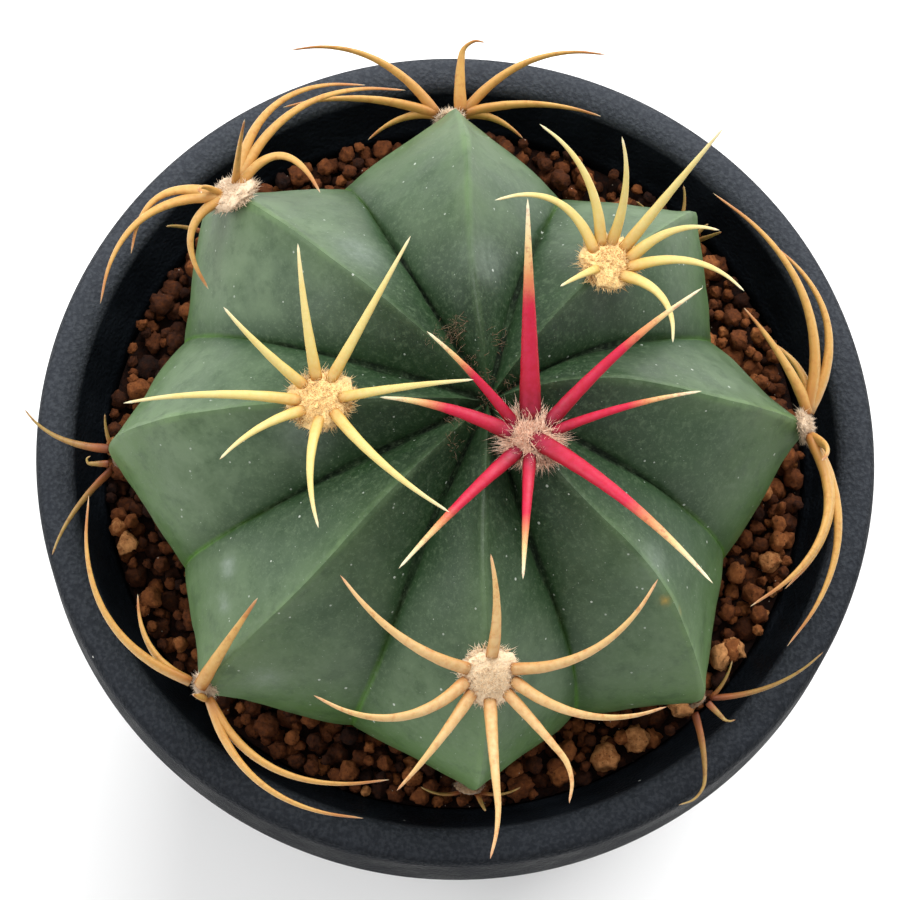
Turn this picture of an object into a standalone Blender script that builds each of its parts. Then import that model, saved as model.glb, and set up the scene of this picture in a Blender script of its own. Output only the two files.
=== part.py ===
"""Potted round cactus: a ribbed globe with wool pads and spines, set in soil in a nursery pot.

World axes: +Z up, the pot's base centre at the origin, the camera side towards -Y.
All lengths are in metres; the tables of the plant are in millimetres and go through MM.
"""

import math
import random

import bmesh
import bpy
from mathutils import Matrix, Vector

MM = 0.001
TOUCH_GAP = 0.3 * MM          # kept between pieces that rest on each other

# Pot: a thin tapered cup whose rim folds over into a collar
POT_HEIGHT = 88.0 * MM
RIM_RADIUS = 52.5 * MM        # outside of the collar
BASE_RADIUS = 36.0 * MM       # outside of the base
LIP_WIDTH = 4.5 * MM          # rounded top band, from the collar's face inwards
LIP_ROUND = 2.0 * MM          # how far the band falls to the collar's face
THROAT_STEP = 3.7 * MM        # the inner wall steps in by this below the band
THROAT_DROP = 6.5 * MM
WALL = 1.8 * MM
FLOOR = 2.6 * MM
COLLAR_WALL = 1.6 * MM
COLLAR_DROP = 12.0 * MM
BASE_ROUND = 2.0 * MM
POT_STEPS = 48

# Drain holes: a ring round a solid centre
DRAIN_HOLES = 6
DRAIN_RING_RADIUS = 24.0 * MM
DRAIN_HOLE_RADIUS = 4.0 * MM

# Soil and the loose grains on it
SOIL_DROP = 7.5 * MM          # soil surface below the rim
WALL_GAP = 0.3 * MM           # soil to pot
SOCKET_GAP = 0.4 * MM         # soil to the plant's skin
GRAINS = 30
GRAIN_RADIUS = 1.5 * MM
GRAIN_SPREAD = 0.3            # share by which grains differ in size
GRAIN_SEED = 5

# Plant: eight ribs, listed counter-clockwise from the one that points along +X
BODY_RADIUS = 42.0 * MM       # crest of a rib at the shoulder
BODY_RISE = 10.0 * MM         # centre of the globe above the rim
BODY_BACK = -1.6 * MM         # centre of the globe along Y
BODY_RIM_GAP = 1.0 * MM       # least room between the globe and the rim
LEAN_RIGHT = math.radians(4.0)
LEAN_FRONT = math.radians(1.0)
TABLE_RADIUS = 42.0           # shoulder radius at which the tables below are written
CROWN_SHIFT = 1.6             # the crown leans over towards +X by this
CROWN_REACH = 30.0            # radius at which that lean has died out
TURN_REACH = 34.0             # radius at which the crown's twist has died out
RIB_BEARINGS = [3, 45, 91, 136, 182, 225.5, 273, 313]
RIB_CROWN_TURNS = [9, 7, 7, 1, 5, 3, -6, -3]
RIB_REACHES = [1.0, 0.985, 1.0, 1.02, 1.0, 1.03, 1.01, 1.01]
CREST_PROFILE = [
    (0, 17), (4, 19.5), (10, 21), (18, 20.4), (26, 18), (33, 13.6), (38.5, 7.6), (41.9, 1.2),
    (42, -4.5), (40, -10), (36.5, -15.5), (31, -20.5), (22, -25), (9, -28.5), (4.5, -34), (0, -45),
]
VALLEY_PROFILE = [
    (0, 16.5), (4, 16.6), (10, 15.8), (18, 13.4), (25, 9.6), (30.5, 4.6), (34.2, -1), (35.6, -6),
    (35.2, -11), (33.4, -15.5), (30, -19), (25, -22.5), (18, -25.5), (8.5, -29), (4.5, -34), (0, -45),
]
PROFILE_SAMPLES = 151
BODY_SEGMENTS = 48            # six to a rib, so that crests and valleys fall on vertices
BODY_RINGS = 24

# Wool pads and spines
PAD_LIFT = 1.2                # centre of a pad above the skin
SPINE_TIP = 0.16              # radius of a spine at its tip
SPINE_SEGMENTS = 6
SPINE_BOW = 0.10              # how far a spine arches off the skin, as a share of its reach
HOOK_SHARE = 0.65             # part of a hooked spine's length before the hook
# name: rib, arc from the crown's middle, pad (half length, half width, half height),
# spine radius at the base, start of the spines from the pad's middle, and the spines:
# (bearing, reach, rise, turn) or (bearing, reach, rise, turn, hook), in degrees and millimetres
SPINE_CLUSTERS = [
    ("spine_cluster_01", 7, 8.6, (3.2, 2.8, 1.0), 1.25, 2.4, [
        (92, 25, 12, 0), (39, 25, 8, -8), (13, 20, 4, -4), (-45, 28, 10, -12),
        (-94, 18, 4, 0), (-132, 23, 5, 0), (168, 18, 3, 12), (140, 16, 7.5, 6)]),
    ("spine_cluster_02", 4, 19.8, (3.2, 2.8, 0.9), 0.8, 2.0, [
        (99, 17, 6, -4), (59, 20, 8, 6), (0, 17.5, 8, 0), (-45, 21, 5, 20),
        (-90, 16.5, 4, 25), (-144, 14, 3, 20), (-175, 22.5, 4, 12), (140, 14.5, 5, -12)]),
    ("spine_cluster_03", 1, 23.8, (3.2, 2.8, 0.9), 0.8, 2.0, [
        (122, 16.5, 8, 45), (86, 12.5, 8, 30), (46, 18, 10, 0), (10, 12.5, 5, -50),
        (-18, 16, 4, -50), (-58, 13, 3, -60), (-142, 8, 5, 0), (158, 15, 5, 75)]),
    ("spine_cluster_04", 6, 34.2, (3.2, 2.8, 0.9), 0.85, 1.8, [
        (91, 12.5, 9, 20), (29, 22, 5, 50), (-11, 20.5, 3, 45), (-49, 18, 0, -10, -45),
        (-86, 21.5, 2, 5, -20), (-129, 17, 0, 0), (-172, 20.5, 3, -60), (148, 20.5, 5, -30)]),
    ("spine_cluster_05", 3, 43.0, (3.0, 2.2, 0.9), 0.8, 2.4, [
        (200, 4.5, 4, 60, 60), (67, 5, 12, 0), (38, 20.5, 3, -75), (29, 24, 4, -60),
        (-8, 11, 4, -110), (-148, 14, -2, 90), (-139, 20.5, -3, 70), (-103, 11.5, -4, 90)]),
    ("spine_cluster_06", 0, 50.0, (2.8, 1.8, 0.9), 1.0, 1.6, [
        (115, 29, 10, 55), (103, 23, 4, 65), (125, 15, 8, 0), (115, 12, 0, 40),
        (-109, 25.5, 5, -65), (-97, 28, 0, -50), (-100, 21.5, 2, -55), (-86, 6.5, 7, -60)]),
    ("spine_cluster_07", 5, 52.0, (2.6, 1.8, 0.9), 0.9, 1.6, [
        (121, 26, 6, -60), (123, 14, 0, -40), (48, 10.5, 15, 0), (-39, 25, 3, 50),
        (-26, 25, 2, 55), (-105, 2, 7, 0)]),
    ("spine_cluster_08", 2, 57.0, (2.6, 1.8, 0.9), 0.9, 1.6, [
        (159, 21.5, 2, 50), (78, 10.5, 5, -20, -90), (21, 21, 2, -45), (178, 21, 0, 15),
        (0, 19, 0, -15), (-167, 10.5, -3, 30), (-14, 9.5, -2, -30)]),
    ("spine_cluster_09", 7, 57.0, (2.4, 1.8, 0.8), 0.6, 1.4, [
        (22, 15.5, 4, 20), (-42, 4.5, 2, 0, 60), (-94, 14, 1, -20, -50), (55, 6, 3, 10)]),
    ("spine_cluster_10", 4, 61.0, (2.4, 1.8, 0.8), 0.6, 1.4, [
        (153, 12, 3, -40), (-165, 4, 2, 0, -150), (-118, 14.5, 3, 10), (100, 5, 3, 0)]),
    ("spine_cluster_11", 1, 61.0, (2.2, 1.7, 0.7), 0.5, 1.2, [
        (20, 3.2, 2.5, 0), (90, 6, 3, 20), (-10, 4.5, 5, 10), (150, 7, 4, -20)]),
    ("spine_cluster_12", 6, 62.0, (2.2, 1.7, 0.7), 0.5, 1.2, [
        (-60, 3.5, 4, 0), (0, 6, 3, 20), (180, 6, 3, -20)]),
    ("spine_cluster_13", 3, 62.5, (2.2, 1.7, 0.7), 0.5, 1.2, [
        (110, 3.5, 4, 0), (60, 5.5, 3, -15), (190, 5.5, 3, 15)]),
]


def clear_scene():
    for old in list(bpy.data.objects):
        bpy.data.objects.remove(old, do_unlink=True)


def new_collection(name):
    collection = bpy.data.collections.new(name)
    bpy.context.scene.collection.children.link(collection)
    return collection


def make_material(name, colour, roughness, metallic=0.0):
    material = bpy.data.materials.new(name)
    material.use_nodes = True
    shader = material.node_tree.nodes["Principled BSDF"]
    shader.inputs["Base Color"].default_value = (*colour, 1.0)
    shader.inputs["Roughness"].default_value = roughness
    shader.inputs["Metallic"].default_value = metallic
    return material


def add_object(name, data, collection, material=None):
    added = bpy.data.objects.new(name, data)
    collection.objects.link(added)
    if material is not None:
        data.materials.clear()
        data.materials.append(material)
    return added


def mark_cutter(cutter):
    cutter.hide_render = True
    cutter.display_type = "WIRE"
    return cutter


def add_boolean(target, operand, operation):
    modifier = target.modifiers.new(operation.lower(), "BOOLEAN")
    modifier.operation = operation
    modifier.object = operand
    modifier.solver = "EXACT"
    return modifier


def turned_mesh_object(name, profile, collection, material, steps):
    """A solid of revolution: the profile runs from the axis, up the inside and down the outside."""
    mesh = bpy.data.meshes.new(name)
    edges = [(i, i + 1) for i in range(len(profile) - 1)]
    mesh.from_pydata([(r, 0.0, z) for r, z in profile], edges, [])
    turned = add_object(name, mesh, collection, material)
    screw = turned.modifiers.new("turn", "SCREW")
    screw.steps = steps
    screw.render_steps = steps
    screw.use_merge_vertices = True
    screw.merge_threshold = 0.00001
    return turned


# ---- the pot -------------------------------------------------------------------------------

def rim_crest_radius():
    return RIM_RADIUS - LIP_WIDTH / 2


def band_inner_radius():
    return RIM_RADIUS - LIP_WIDTH


def throat_radius():
    return band_inner_radius() - THROAT_STEP


def throat_height():
    return POT_HEIGHT - LIP_ROUND / 2 - THROAT_DROP


def cavity_radius(height):
    """Inner radius of the pot at a height above its base, for the soil's stretch of the wall."""
    inner_base = BASE_RADIUS - WALL
    share = (height - FLOOR) / (throat_height() - FLOOR)
    return inner_base + (throat_radius() - inner_base) * share


def foot_round(steps=3):
    """The rounded edge of the pot's base, from the wall to the flat underside."""
    points = []
    for k in range(steps + 1):
        turn = math.pi / 2 * k / steps
        radius = BASE_RADIUS - BASE_ROUND * (1 - math.cos(turn))
        points.append((radius, BASE_ROUND * (1 - math.sin(turn))))
    return points


def pot_profile():
    collar_inner = RIM_RADIUS - COLLAR_WALL
    collar_foot = POT_HEIGHT - COLLAR_DROP
    outer_throat = throat_radius() + WALL
    lip_under = POT_HEIGHT - LIP_ROUND - COLLAR_WALL
    return [
        (0.0, FLOOR),
        (cavity_radius(FLOOR) - BASE_ROUND / 2, FLOOR),
        (cavity_radius(FLOOR + BASE_ROUND / 2), FLOOR + BASE_ROUND / 2),
        (throat_radius(), throat_height()),
        (band_inner_radius(), POT_HEIGHT - LIP_ROUND / 2),
        (band_inner_radius() + LIP_WIDTH / 6, POT_HEIGHT - LIP_ROUND / 6),
        (rim_crest_radius(), POT_HEIGHT),
        (RIM_RADIUS - LIP_WIDTH / 6, POT_HEIGHT - LIP_ROUND / 3),
        (RIM_RADIUS, POT_HEIGHT - LIP_ROUND),
        (RIM_RADIUS, collar_foot),
        (collar_inner, collar_foot),
        (collar_inner, lip_under),
        (band_inner_radius() + WALL / 2, lip_under),
        (outer_throat, throat_height()),
        *foot_round(),
        (0.0, 0.0),
    ]


def build_pot(parts, cutters):
    black = make_material("pot_black_plastic", (0.018, 0.018, 0.02), 0.45)
    pot = turned_mesh_object("pot", pot_profile(), parts, black, POT_STEPS)
    drills = bmesh.new()
    for i in range(DRAIN_HOLES):
        bearing = math.tau * i / DRAIN_HOLES
        middle = Vector((math.cos(bearing), math.sin(bearing), 0.0)) * DRAIN_RING_RADIUS
        bmesh.ops.create_cone(
            drills, cap_ends=True, segments=16, radius1=DRAIN_HOLE_RADIUS,
            radius2=DRAIN_HOLE_RADIUS, depth=4 * FLOOR, matrix=Matrix.Translation(middle))
    mesh = bpy.data.meshes.new("drain_drills")
    drills.to_mesh(mesh)
    drills.free()
    add_boolean(pot, mark_cutter(add_object("drain_drills", mesh, cutters)), "DIFFERENCE")
    return pot


# ---- the plant's shape ---------------------------------------------------------------------

def growth():
    """Metres for one millimetre of the plant's tables."""
    return BODY_RADIUS / TABLE_RADIUS


def ease(x):
    x = min(max(x, 0.0), 1.0)
    return x * x * (3 - 2 * x)


def smooth_line(points, samples):
    """A Catmull-Rom line through the points, the same number of samples on each stretch."""
    first = [2 * a - b for a, b in zip(points[0], points[1])]
    last = [2 * a - b for a, b in zip(points[-1], points[-2])]
    line = [first, *points, last]
    stretches = len(points) - 1
    smoothed = []
    for k in range(samples):
        at = stretches * k / (samples - 1)
        i = min(int(at), stretches - 1)
        f = at - i
        a, b, c, d = line[i:i + 4]
        smoothed.append(tuple(
            0.5 * (2 * q + (r - p) * f + (2 * p - 5 * q + 4 * r - s) * f ** 2
                   + (3 * q - p - 3 * r + s) * f ** 3)
            for p, q, r, s in zip(a, b, c, d)))
    return smoothed


CREST = smooth_line(CREST_PROFILE, PROFILE_SAMPLES)
VALLEY = smooth_line(VALLEY_PROFILE, PROFILE_SAMPLES)


def along(line, share):
    at = share * (len(line) - 1)
    i = min(int(at), len(line) - 2)
    f = at - i
    return tuple(a * (1 - f) + b * f for a, b in zip(line[i], line[i + 1]))


def rib_bearing(rib, radius):
    """Bearing of a rib's crest, in degrees: the ribs twist a little towards the crown."""
    return RIB_BEARINGS[rib] + RIB_CROWN_TURNS[rib] * (1 - ease(radius / TURN_REACH))


def rib_reach(rib, radius):
    return 1 + (RIB_REACHES[rib] - 1) * ease(radius / 36.0)


def crown_shifted(point):
    if point.z > 0:
        point.x += CROWN_SHIFT * (1 - ease(math.hypot(point.x, point.y) / CROWN_REACH))
    return point


def skin_point(rib, side, share):
    """A point of the skin in table millimetres: side runs from -1 to 1 across the rib."""
    depth = abs(side)
    crest = along(CREST, share)
    valley = along(VALLEY, share)
    radius = crest[0] * (1 - depth) + valley[0] * depth
    height = crest[1] * (1 - depth) + valley[1] * depth
    neighbour = (rib + (1 if side > 0 else -1)) % len(RIB_BEARINGS)
    own = rib_bearing(rib, radius)
    gap = (rib_bearing(neighbour, radius) - own + 180) % 360 - 180
    bearing = math.radians(own + gap * depth / 2)
    reach = rib_reach(rib, radius) * (1 - depth / 2) + rib_reach(neighbour, radius) * depth / 2
    reach *= radius
    return crown_shifted(Vector((reach * math.cos(bearing), reach * math.sin(bearing), height)))


def seat_height():
    """Height of the globe's centre: above the rim, and no lower than the rim lets it sit."""
    throat = (band_inner_radius() - BODY_RIM_GAP - abs(BODY_BACK)) / growth() / max(RIB_REACHES)
    lowest_wide = min((z for r, z in CREST if r > throat), default=0.0)
    return POT_HEIGHT + max(BODY_RISE, BODY_RIM_GAP - lowest_wide * growth())


def plant_frame():
    """The matrix from table millimetres to the world."""
    lean = Matrix.Rotation(LEAN_RIGHT, 4, "Y") @ Matrix.Rotation(LEAN_FRONT, 4, "X")
    centre = Matrix.Translation((0.0, BODY_BACK, seat_height()))
    return centre @ lean @ Matrix.Scale(growth(), 4)


def body_mesh(name, swell=0.0):
    """The ribbed globe, from a sphere's vertices; swell moves the skin outwards."""
    shape = bmesh.new()
    bmesh.ops.create_uvsphere(shape, u_segments=BODY_SEGMENTS, v_segments=BODY_RINGS, radius=1.0)
    ribs = len(RIB_BEARINGS)
    for vertex in shape.verts:
        turn = round(math.atan2(vertex.co.y, vertex.co.x) / math.tau * BODY_SEGMENTS)
        turn = turn % BODY_SEGMENTS / BODY_SEGMENTS * ribs
        share = math.acos(max(-1.0, min(1.0, vertex.co.z))) / math.pi
        vertex.co = skin_point(int(turn), 2 * (turn - int(turn)) - 1, share)
    shape.transform(plant_frame())
    shape.normal_update()
    for vertex in shape.verts:
        vertex.co += vertex.normal * swell
    mesh = bpy.data.meshes.new(name)
    shape.to_mesh(mesh)
    shape.free()
    return mesh


def build_body(parts):
    green = make_material("cactus_skin", (0.16, 0.27, 0.13), 0.6)
    body = add_object("cactus_body", body_mesh("cactus_body"), parts, green)
    body.data.shade_smooth()
    return body


# ---- the soil ------------------------------------------------------------------------------

def soil_top():
    return POT_HEIGHT - SOIL_DROP


def build_soil(parts, cutters):
    brown = make_material("soil_granules", (0.11, 0.06, 0.035), 0.95)
    bottom = FLOOR + WALL_GAP
    shoulder = min(soil_top(), throat_height())
    profile = [
        (0.0, soil_top()),
        (cavity_radius(shoulder) - WALL_GAP, soil_top()),
        (cavity_radius(shoulder) - WALL_GAP, shoulder - 2 * WALL_GAP),
        (cavity_radius(bottom + BASE_ROUND) - WALL_GAP, bottom + BASE_ROUND),
        (cavity_radius(bottom) - BASE_ROUND, bottom),
        (0.0, bottom),
    ]
    soil = turned_mesh_object("soil_bed", profile, parts, brown, POT_STEPS)
    socket = add_object("soil_socket", body_mesh("soil_socket", SOCKET_GAP), cutters)
    add_boolean(soil, mark_cutter(socket), "DIFFERENCE")
    return soil


def body_outline_at(bearing, height):
    """Distance of the plant's skin from the pot's axis at a bearing and a world height."""
    frame = plant_frame()
    best = 0.0
    for step in range(-2, 3):
        at = bearing + math.radians(3 * step)
        for k in range(40, 100):
            turn = at / math.tau * len(RIB_BEARINGS)
            rib = round(turn) % len(RIB_BEARINGS)
            side = 2 * (turn - round(turn))
            point = frame @ skin_point(rib, side, k / 100)
            if abs(point.z - height) < 1.5 * MM:
                best = max(best, math.hypot(point.x, point.y))
    return best


def build_grains(parts):
    """Loose grains on the soil, between the plant and the wall."""
    tan = make_material("soil_grain", (0.30, 0.16, 0.08), 0.95)
    draw = random.Random(GRAIN_SEED)
    for i in range(GRAINS):
        bearing = math.tau * (i + draw.uniform(-0.2, 0.2)) / GRAINS
        radius = GRAIN_RADIUS * draw.uniform(1 - GRAIN_SPREAD, 1 + GRAIN_SPREAD)
        inner = body_outline_at(bearing, soil_top() + 2 * radius) + TOUCH_GAP
        outer = cavity_radius(soil_top()) - TOUCH_GAP
        radius = min(radius, 0.4 * (outer - inner))
        ring = inner + radius + (outer - inner - 2 * radius) * draw.uniform(0.35, 0.9)
        shape = bmesh.new()
        bmesh.ops.create_icosphere(shape, subdivisions=2, radius=radius)
        for vertex in shape.verts:
            vertex.co *= draw.uniform(0.8, 1.0)
        lowest = min(vertex.co.z for vertex in shape.verts)
        mesh = bpy.data.meshes.new(f"soil_grain_{i + 1:02d}")
        shape.to_mesh(mesh)
        shape.free()
        grain = add_object(mesh.name, mesh, parts, tan)
        height = soil_top() + TOUCH_GAP - lowest
        grain.location = (ring * math.cos(bearing), ring * math.sin(bearing), height)


# ---- wool pads and spines ------------------------------------------------------------------

def crest_place(rib, arc):
    """Point and outward normal on a rib's crest, an arc length away from the crown's middle."""
    travelled = 0.0
    for (r0, z0), (r1, z1) in zip(CREST, CREST[1:]):
        step = math.hypot(r1 - r0, z1 - z0)
        if travelled + step >= arc:
            break
        travelled += step
    f = (arc - travelled) / step
    radius = r0 + (r1 - r0) * f
    height = z0 + (z1 - z0) * f
    bearing = math.radians(rib_bearing(rib, radius))
    reach = radius * rib_reach(rib, radius)
    point = crown_shifted(Vector((reach * math.cos(bearing), reach * math.sin(bearing), height)))
    slope = Vector((r1 - r0, z1 - z0)).normalized()
    normal = Vector((-slope.y * math.cos(bearing), -slope.y * math.sin(bearing), slope.x))
    return point, normal


def spine_line(pad_centre, normal, start, spine):
    """Points of a spine, from inside its pad to the tip, in leaned table millimetres."""
    bearing, reach, rise, turn = spine[:4]
    hook = math.radians(spine[4]) if len(spine) > 4 else 0.0
    out = Vector((math.cos(math.radians(bearing)), math.sin(math.radians(bearing)), 0.0))
    left = Vector((-out.y, out.x, 0.0))
    tip = pad_centre + out * reach + Vector((0, 0, rise))
    root = pad_centre + (out - normal * out.dot(normal)).normalized() * min(start, reach / 2)
    middle = (root + tip) / 2 + normal * (SPINE_BOW * reach)
    middle -= left * (0.5 * reach * math.tan(math.radians(turn / 2)))
    points = []
    for k in range(SPINE_SEGMENTS + 1):
        t = k / SPINE_SEGMENTS
        points.append(root * (1 - t) ** 2 + middle * (2 * t * (1 - t)) + tip * t ** 2)
    bent = [points[0]]
    for k, (a, b) in enumerate(zip(points, points[1:])):
        share = max(0.0, (k + 1) / SPINE_SEGMENTS - HOOK_SHARE) / (1 - HOOK_SHARE)
        bent.append(bent[-1] + Matrix.Rotation(hook * share, 3, "Z") @ (b - a))
    return bent


def spine_object(points, base, collection):
    curve = bpy.data.curves.new("spine", "CURVE")
    curve.dimensions = "3D"
    curve.bevel_depth = 1.0
    curve.bevel_resolution = 1
    curve.use_fill_caps = True
    spline = curve.splines.new("POLY")
    spline.points.add(len(points) - 1)
    for k, (target, point) in enumerate(zip(spline.points, points)):
        target.co = (*point, 1.0)
        target.radius = base + (SPINE_TIP * growth() - base) * (k / (len(points) - 1)) ** 1.5
    drawn = add_object("spine", curve, collection)
    bpy.context.view_layer.update()
    graph = bpy.context.evaluated_depsgraph_get()
    mesh = bpy.data.meshes.new_from_object(drawn.evaluated_get(graph))
    welded = bmesh.new()
    welded.from_mesh(mesh)
    bmesh.ops.remove_doubles(welded, verts=welded.verts, dist=0.00001)
    bmesh.ops.recalc_face_normals(welded, faces=welded.faces)
    welded.to_mesh(mesh)
    welded.free()
    solid = add_object("spine_solid", mesh, collection)
    solid.matrix_world = drawn.matrix_world
    bpy.data.objects.remove(drawn)
    return solid


def united(target, pieces):
    """Joins the pieces to the target as one closed body, and removes them."""
    for piece in pieces:
        add_boolean(target, piece, "UNION")
    bpy.context.view_layer.update()
    graph = bpy.context.evaluated_depsgraph_get()
    joined = bpy.data.meshes.new_from_object(target.evaluated_get(graph))
    joined.name = target.name
    target.modifiers.clear()
    target.data = joined
    for piece in pieces:
        bpy.data.objects.remove(piece)


def build_cluster(parts, helpers, cluster, material):
    name, rib, arc, pad, spine_radius, start, spines = cluster
    frame = plant_frame()
    lean = frame.to_3x3().normalized()
    point, normal = crest_place(rib, arc)
    point = frame @ point
    normal = (lean @ normal).normalized()
    along_rib = (Vector((0, 0, 1)) - normal * normal.z).normalized()
    if arc < 30:
        outward = Vector((point.x, point.y, 0.0)).normalized()
        along_rib = (outward - normal * outward.dot(normal)).normalized()
    across = normal.cross(along_rib)
    centre = point + normal * (PAD_LIFT * growth() + TOUCH_GAP)
    axes = Matrix((along_rib * pad[0], across * pad[1], normal * pad[2])).transposed()
    place = Matrix.Translation(centre) @ (axes * growth()).to_4x4()
    shape = bmesh.new()
    bmesh.ops.create_icosphere(shape, subdivisions=2, radius=1.0, matrix=place)
    bmesh.ops.recalc_face_normals(shape, faces=shape.faces)
    mesh = bpy.data.meshes.new(name)
    shape.to_mesh(mesh)
    shape.free()
    body = add_object(name, mesh, parts, material)
    pieces = []
    for spine in spines:
        sized = [spine[0], spine[1] * growth(), spine[2] * growth(), *spine[3:]]
        line = spine_line(centre, normal, start * growth(), sized)
        pieces.append(spine_object(line, spine_radius * growth(), helpers))
    united(body, pieces)
    body.data.materials.clear()
    body.data.materials.append(material)
    return body


def build_clusters(parts, helpers):
    crimson = make_material("spines_crimson", (0.45, 0.10, 0.07), 0.55)
    amber = make_material("spines_amber", (0.62, 0.42, 0.20), 0.55)
    for cluster in SPINE_CLUSTERS:
        first = cluster is SPINE_CLUSTERS[0]
        build_cluster(parts, helpers, cluster, crimson if first else amber)


def main():
    clear_scene()
    parts = new_collection("potted_round_cactus")
    helpers = new_collection("helpers")
    build_pot(parts, helpers)
    build_soil(parts, helpers)
    build_body(parts)
    build_grains(parts)
    build_clusters(parts, helpers)


main()
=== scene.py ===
"""Looks of a potted round cactus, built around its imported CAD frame.

The pot, the soil and the loose grains take their sizes from the frame's nodes. The plant's
own form is written here in millimetres, in the frame's axes, so that its skin, wool pads and
spines lie where the CAD solids are.
"""

import logging
import math
from dataclasses import dataclass, field
from enum import Enum

import bmesh
import bpy
import numpy as np
from mathutils import Matrix, Vector, noise
from mathutils.bvhtree import BVHTree


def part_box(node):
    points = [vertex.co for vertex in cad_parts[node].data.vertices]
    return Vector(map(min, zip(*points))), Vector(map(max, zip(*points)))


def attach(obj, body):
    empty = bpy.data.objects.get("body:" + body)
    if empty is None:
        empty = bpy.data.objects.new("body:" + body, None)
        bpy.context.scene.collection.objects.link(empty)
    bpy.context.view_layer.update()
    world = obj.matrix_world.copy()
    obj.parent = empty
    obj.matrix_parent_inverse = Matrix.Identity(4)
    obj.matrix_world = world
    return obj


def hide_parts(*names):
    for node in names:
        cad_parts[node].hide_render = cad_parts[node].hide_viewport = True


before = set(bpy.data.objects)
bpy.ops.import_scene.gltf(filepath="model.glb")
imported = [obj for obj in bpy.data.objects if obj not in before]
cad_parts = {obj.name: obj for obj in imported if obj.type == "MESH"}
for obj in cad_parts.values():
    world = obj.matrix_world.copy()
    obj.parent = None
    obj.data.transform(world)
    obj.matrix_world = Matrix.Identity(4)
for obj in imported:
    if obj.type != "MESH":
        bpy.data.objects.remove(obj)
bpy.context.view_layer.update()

LOG = logging.getLogger("cactus")
MM = 0.001
BODY = "root"

Rgb = tuple[float, float, float]
Stops = tuple[tuple[float, Rgb], ...]
Socket = bpy.types.NodeSocket


# ---- arrays and meshes ---------------------------------------------------------------------


def ease(x: np.ndarray | float) -> np.ndarray | float:
    """Returns x clamped to 0..1 and smoothed at both ends."""
    x = np.clip(x, 0.0, 1.0)
    return x * x * (3 - 2 * x)


def bell(x: np.ndarray | float, width: float) -> np.ndarray | float:
    """Returns a smooth bump of height 1 at zero, of that half width."""
    return np.exp(-(np.asarray(x) / width) ** 2)


def unit(v: np.ndarray) -> np.ndarray:
    """Returns the vectors along the last axis at length 1."""
    return v / np.maximum(np.linalg.norm(v, axis=-1, keepdims=True), 1e-12)


def smooth_line(points: list[tuple[float, ...]], samples: int) -> np.ndarray:
    """Draws a Catmull-Rom line through a few points.

    Args:
        points: the points that the line passes through.
        samples: how many points the line gets, as many on each stretch.

    Returns:
        The line's points, one to a row.
    """
    p = np.array(points, float)
    p = np.vstack([2 * p[0] - p[1], p, 2 * p[-1] - p[-2]])
    at = np.linspace(0, len(points) - 1, samples)
    i = np.minimum(at.astype(int), len(points) - 2)
    f = (at - i)[:, None]
    a, b, c, d = p[i], p[i + 1], p[i + 2], p[i + 3]
    cubic = (2 * a - 5 * b + 4 * c - d) * f**2 + (3 * b - a - 3 * c + d) * f**3
    return 0.5 * (2 * b + (c - a) * f + cubic)


def grid_faces(rows: int, columns: int) -> np.ndarray:
    """Lists the quads of a grid of points, whose rows are closed rings.

    Args:
        rows: how many rings of points there are.
        columns: how many points a ring holds.

    Returns:
        Four point numbers to a row.
    """
    j, i = np.meshgrid(np.arange(rows - 1), np.arange(columns), indexing="ij")
    k = (i + 1) % columns
    quads = np.stack([j * columns + i, j * columns + k, (j + 1) * columns + k, (j + 1) * columns + i], -1)
    return quads.reshape(-1, 4)


def fan_faces(ring: np.ndarray, middle: int) -> np.ndarray:
    """Lists the triangles that close a ring of points onto one point, in the ring's order."""
    return np.stack([ring, np.roll(ring, -1), np.full_like(ring, middle)], -1)


def capped_faces(rows: int, columns: int) -> list[np.ndarray]:
    """Lists the faces of a closed shape: a grid of rings, and a fan at each end.

    Args:
        rows: how many rings of points there are.
        columns: how many points a ring holds.

    Returns:
        The faces, where the two middles are the points after the last ring.
    """
    ring = np.arange(columns)
    last = rows * columns
    return [
        grid_faces(rows, columns)[:, ::-1],
        fan_faces(ring, last),
        fan_faces(ring[::-1] + last - columns, last + 1),
    ]


@dataclass
class Sheaf:
    """Points, faces and values at points, gathered from many small shapes into one mesh."""

    points: list[np.ndarray] = field(default_factory=list)
    faces: list[list[int]] = field(default_factory=list)
    values: dict[str, list[np.ndarray]] = field(default_factory=dict)
    count: int = 0

    def add(self, points: np.ndarray, faces: list[np.ndarray], **values: np.ndarray | float) -> None:
        """Adds one shape.

        Args:
            points: its points, in metres.
            faces: arrays of its faces, counted from its own first point.
            values: a number, or one at each point, by the name of the mesh's attribute.
        """
        for block in faces:
            self.faces.extend((block + self.count).tolist())
        self.points.append(points)
        for name, value in values.items():
            whole = np.broadcast_to(np.asarray(value, float), (len(points),))
            self.values.setdefault(name, []).append(whole)
        self.count += len(points)

    def piece(self, name: str) -> bpy.types.Object:
        """Turns the gathered shapes into one smooth object.

        Args:
            name: the object's name.

        Returns:
            The new object, in the scene.
        """
        mesh = bpy.data.meshes.new(name)
        mesh.from_pydata(np.concatenate(self.points).tolist(), [], self.faces)
        for key, parts in self.values.items():
            layer = mesh.attributes.new(key, "FLOAT", "POINT")
            layer.data.foreach_set("value", np.concatenate(parts).astype(np.float32))
        mesh.polygons.foreach_set("use_smooth", [True] * len(mesh.polygons))
        mesh.validate()
        made = bpy.data.objects.new(name, mesh)
        bpy.context.scene.collection.objects.link(made)
        return made


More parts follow.
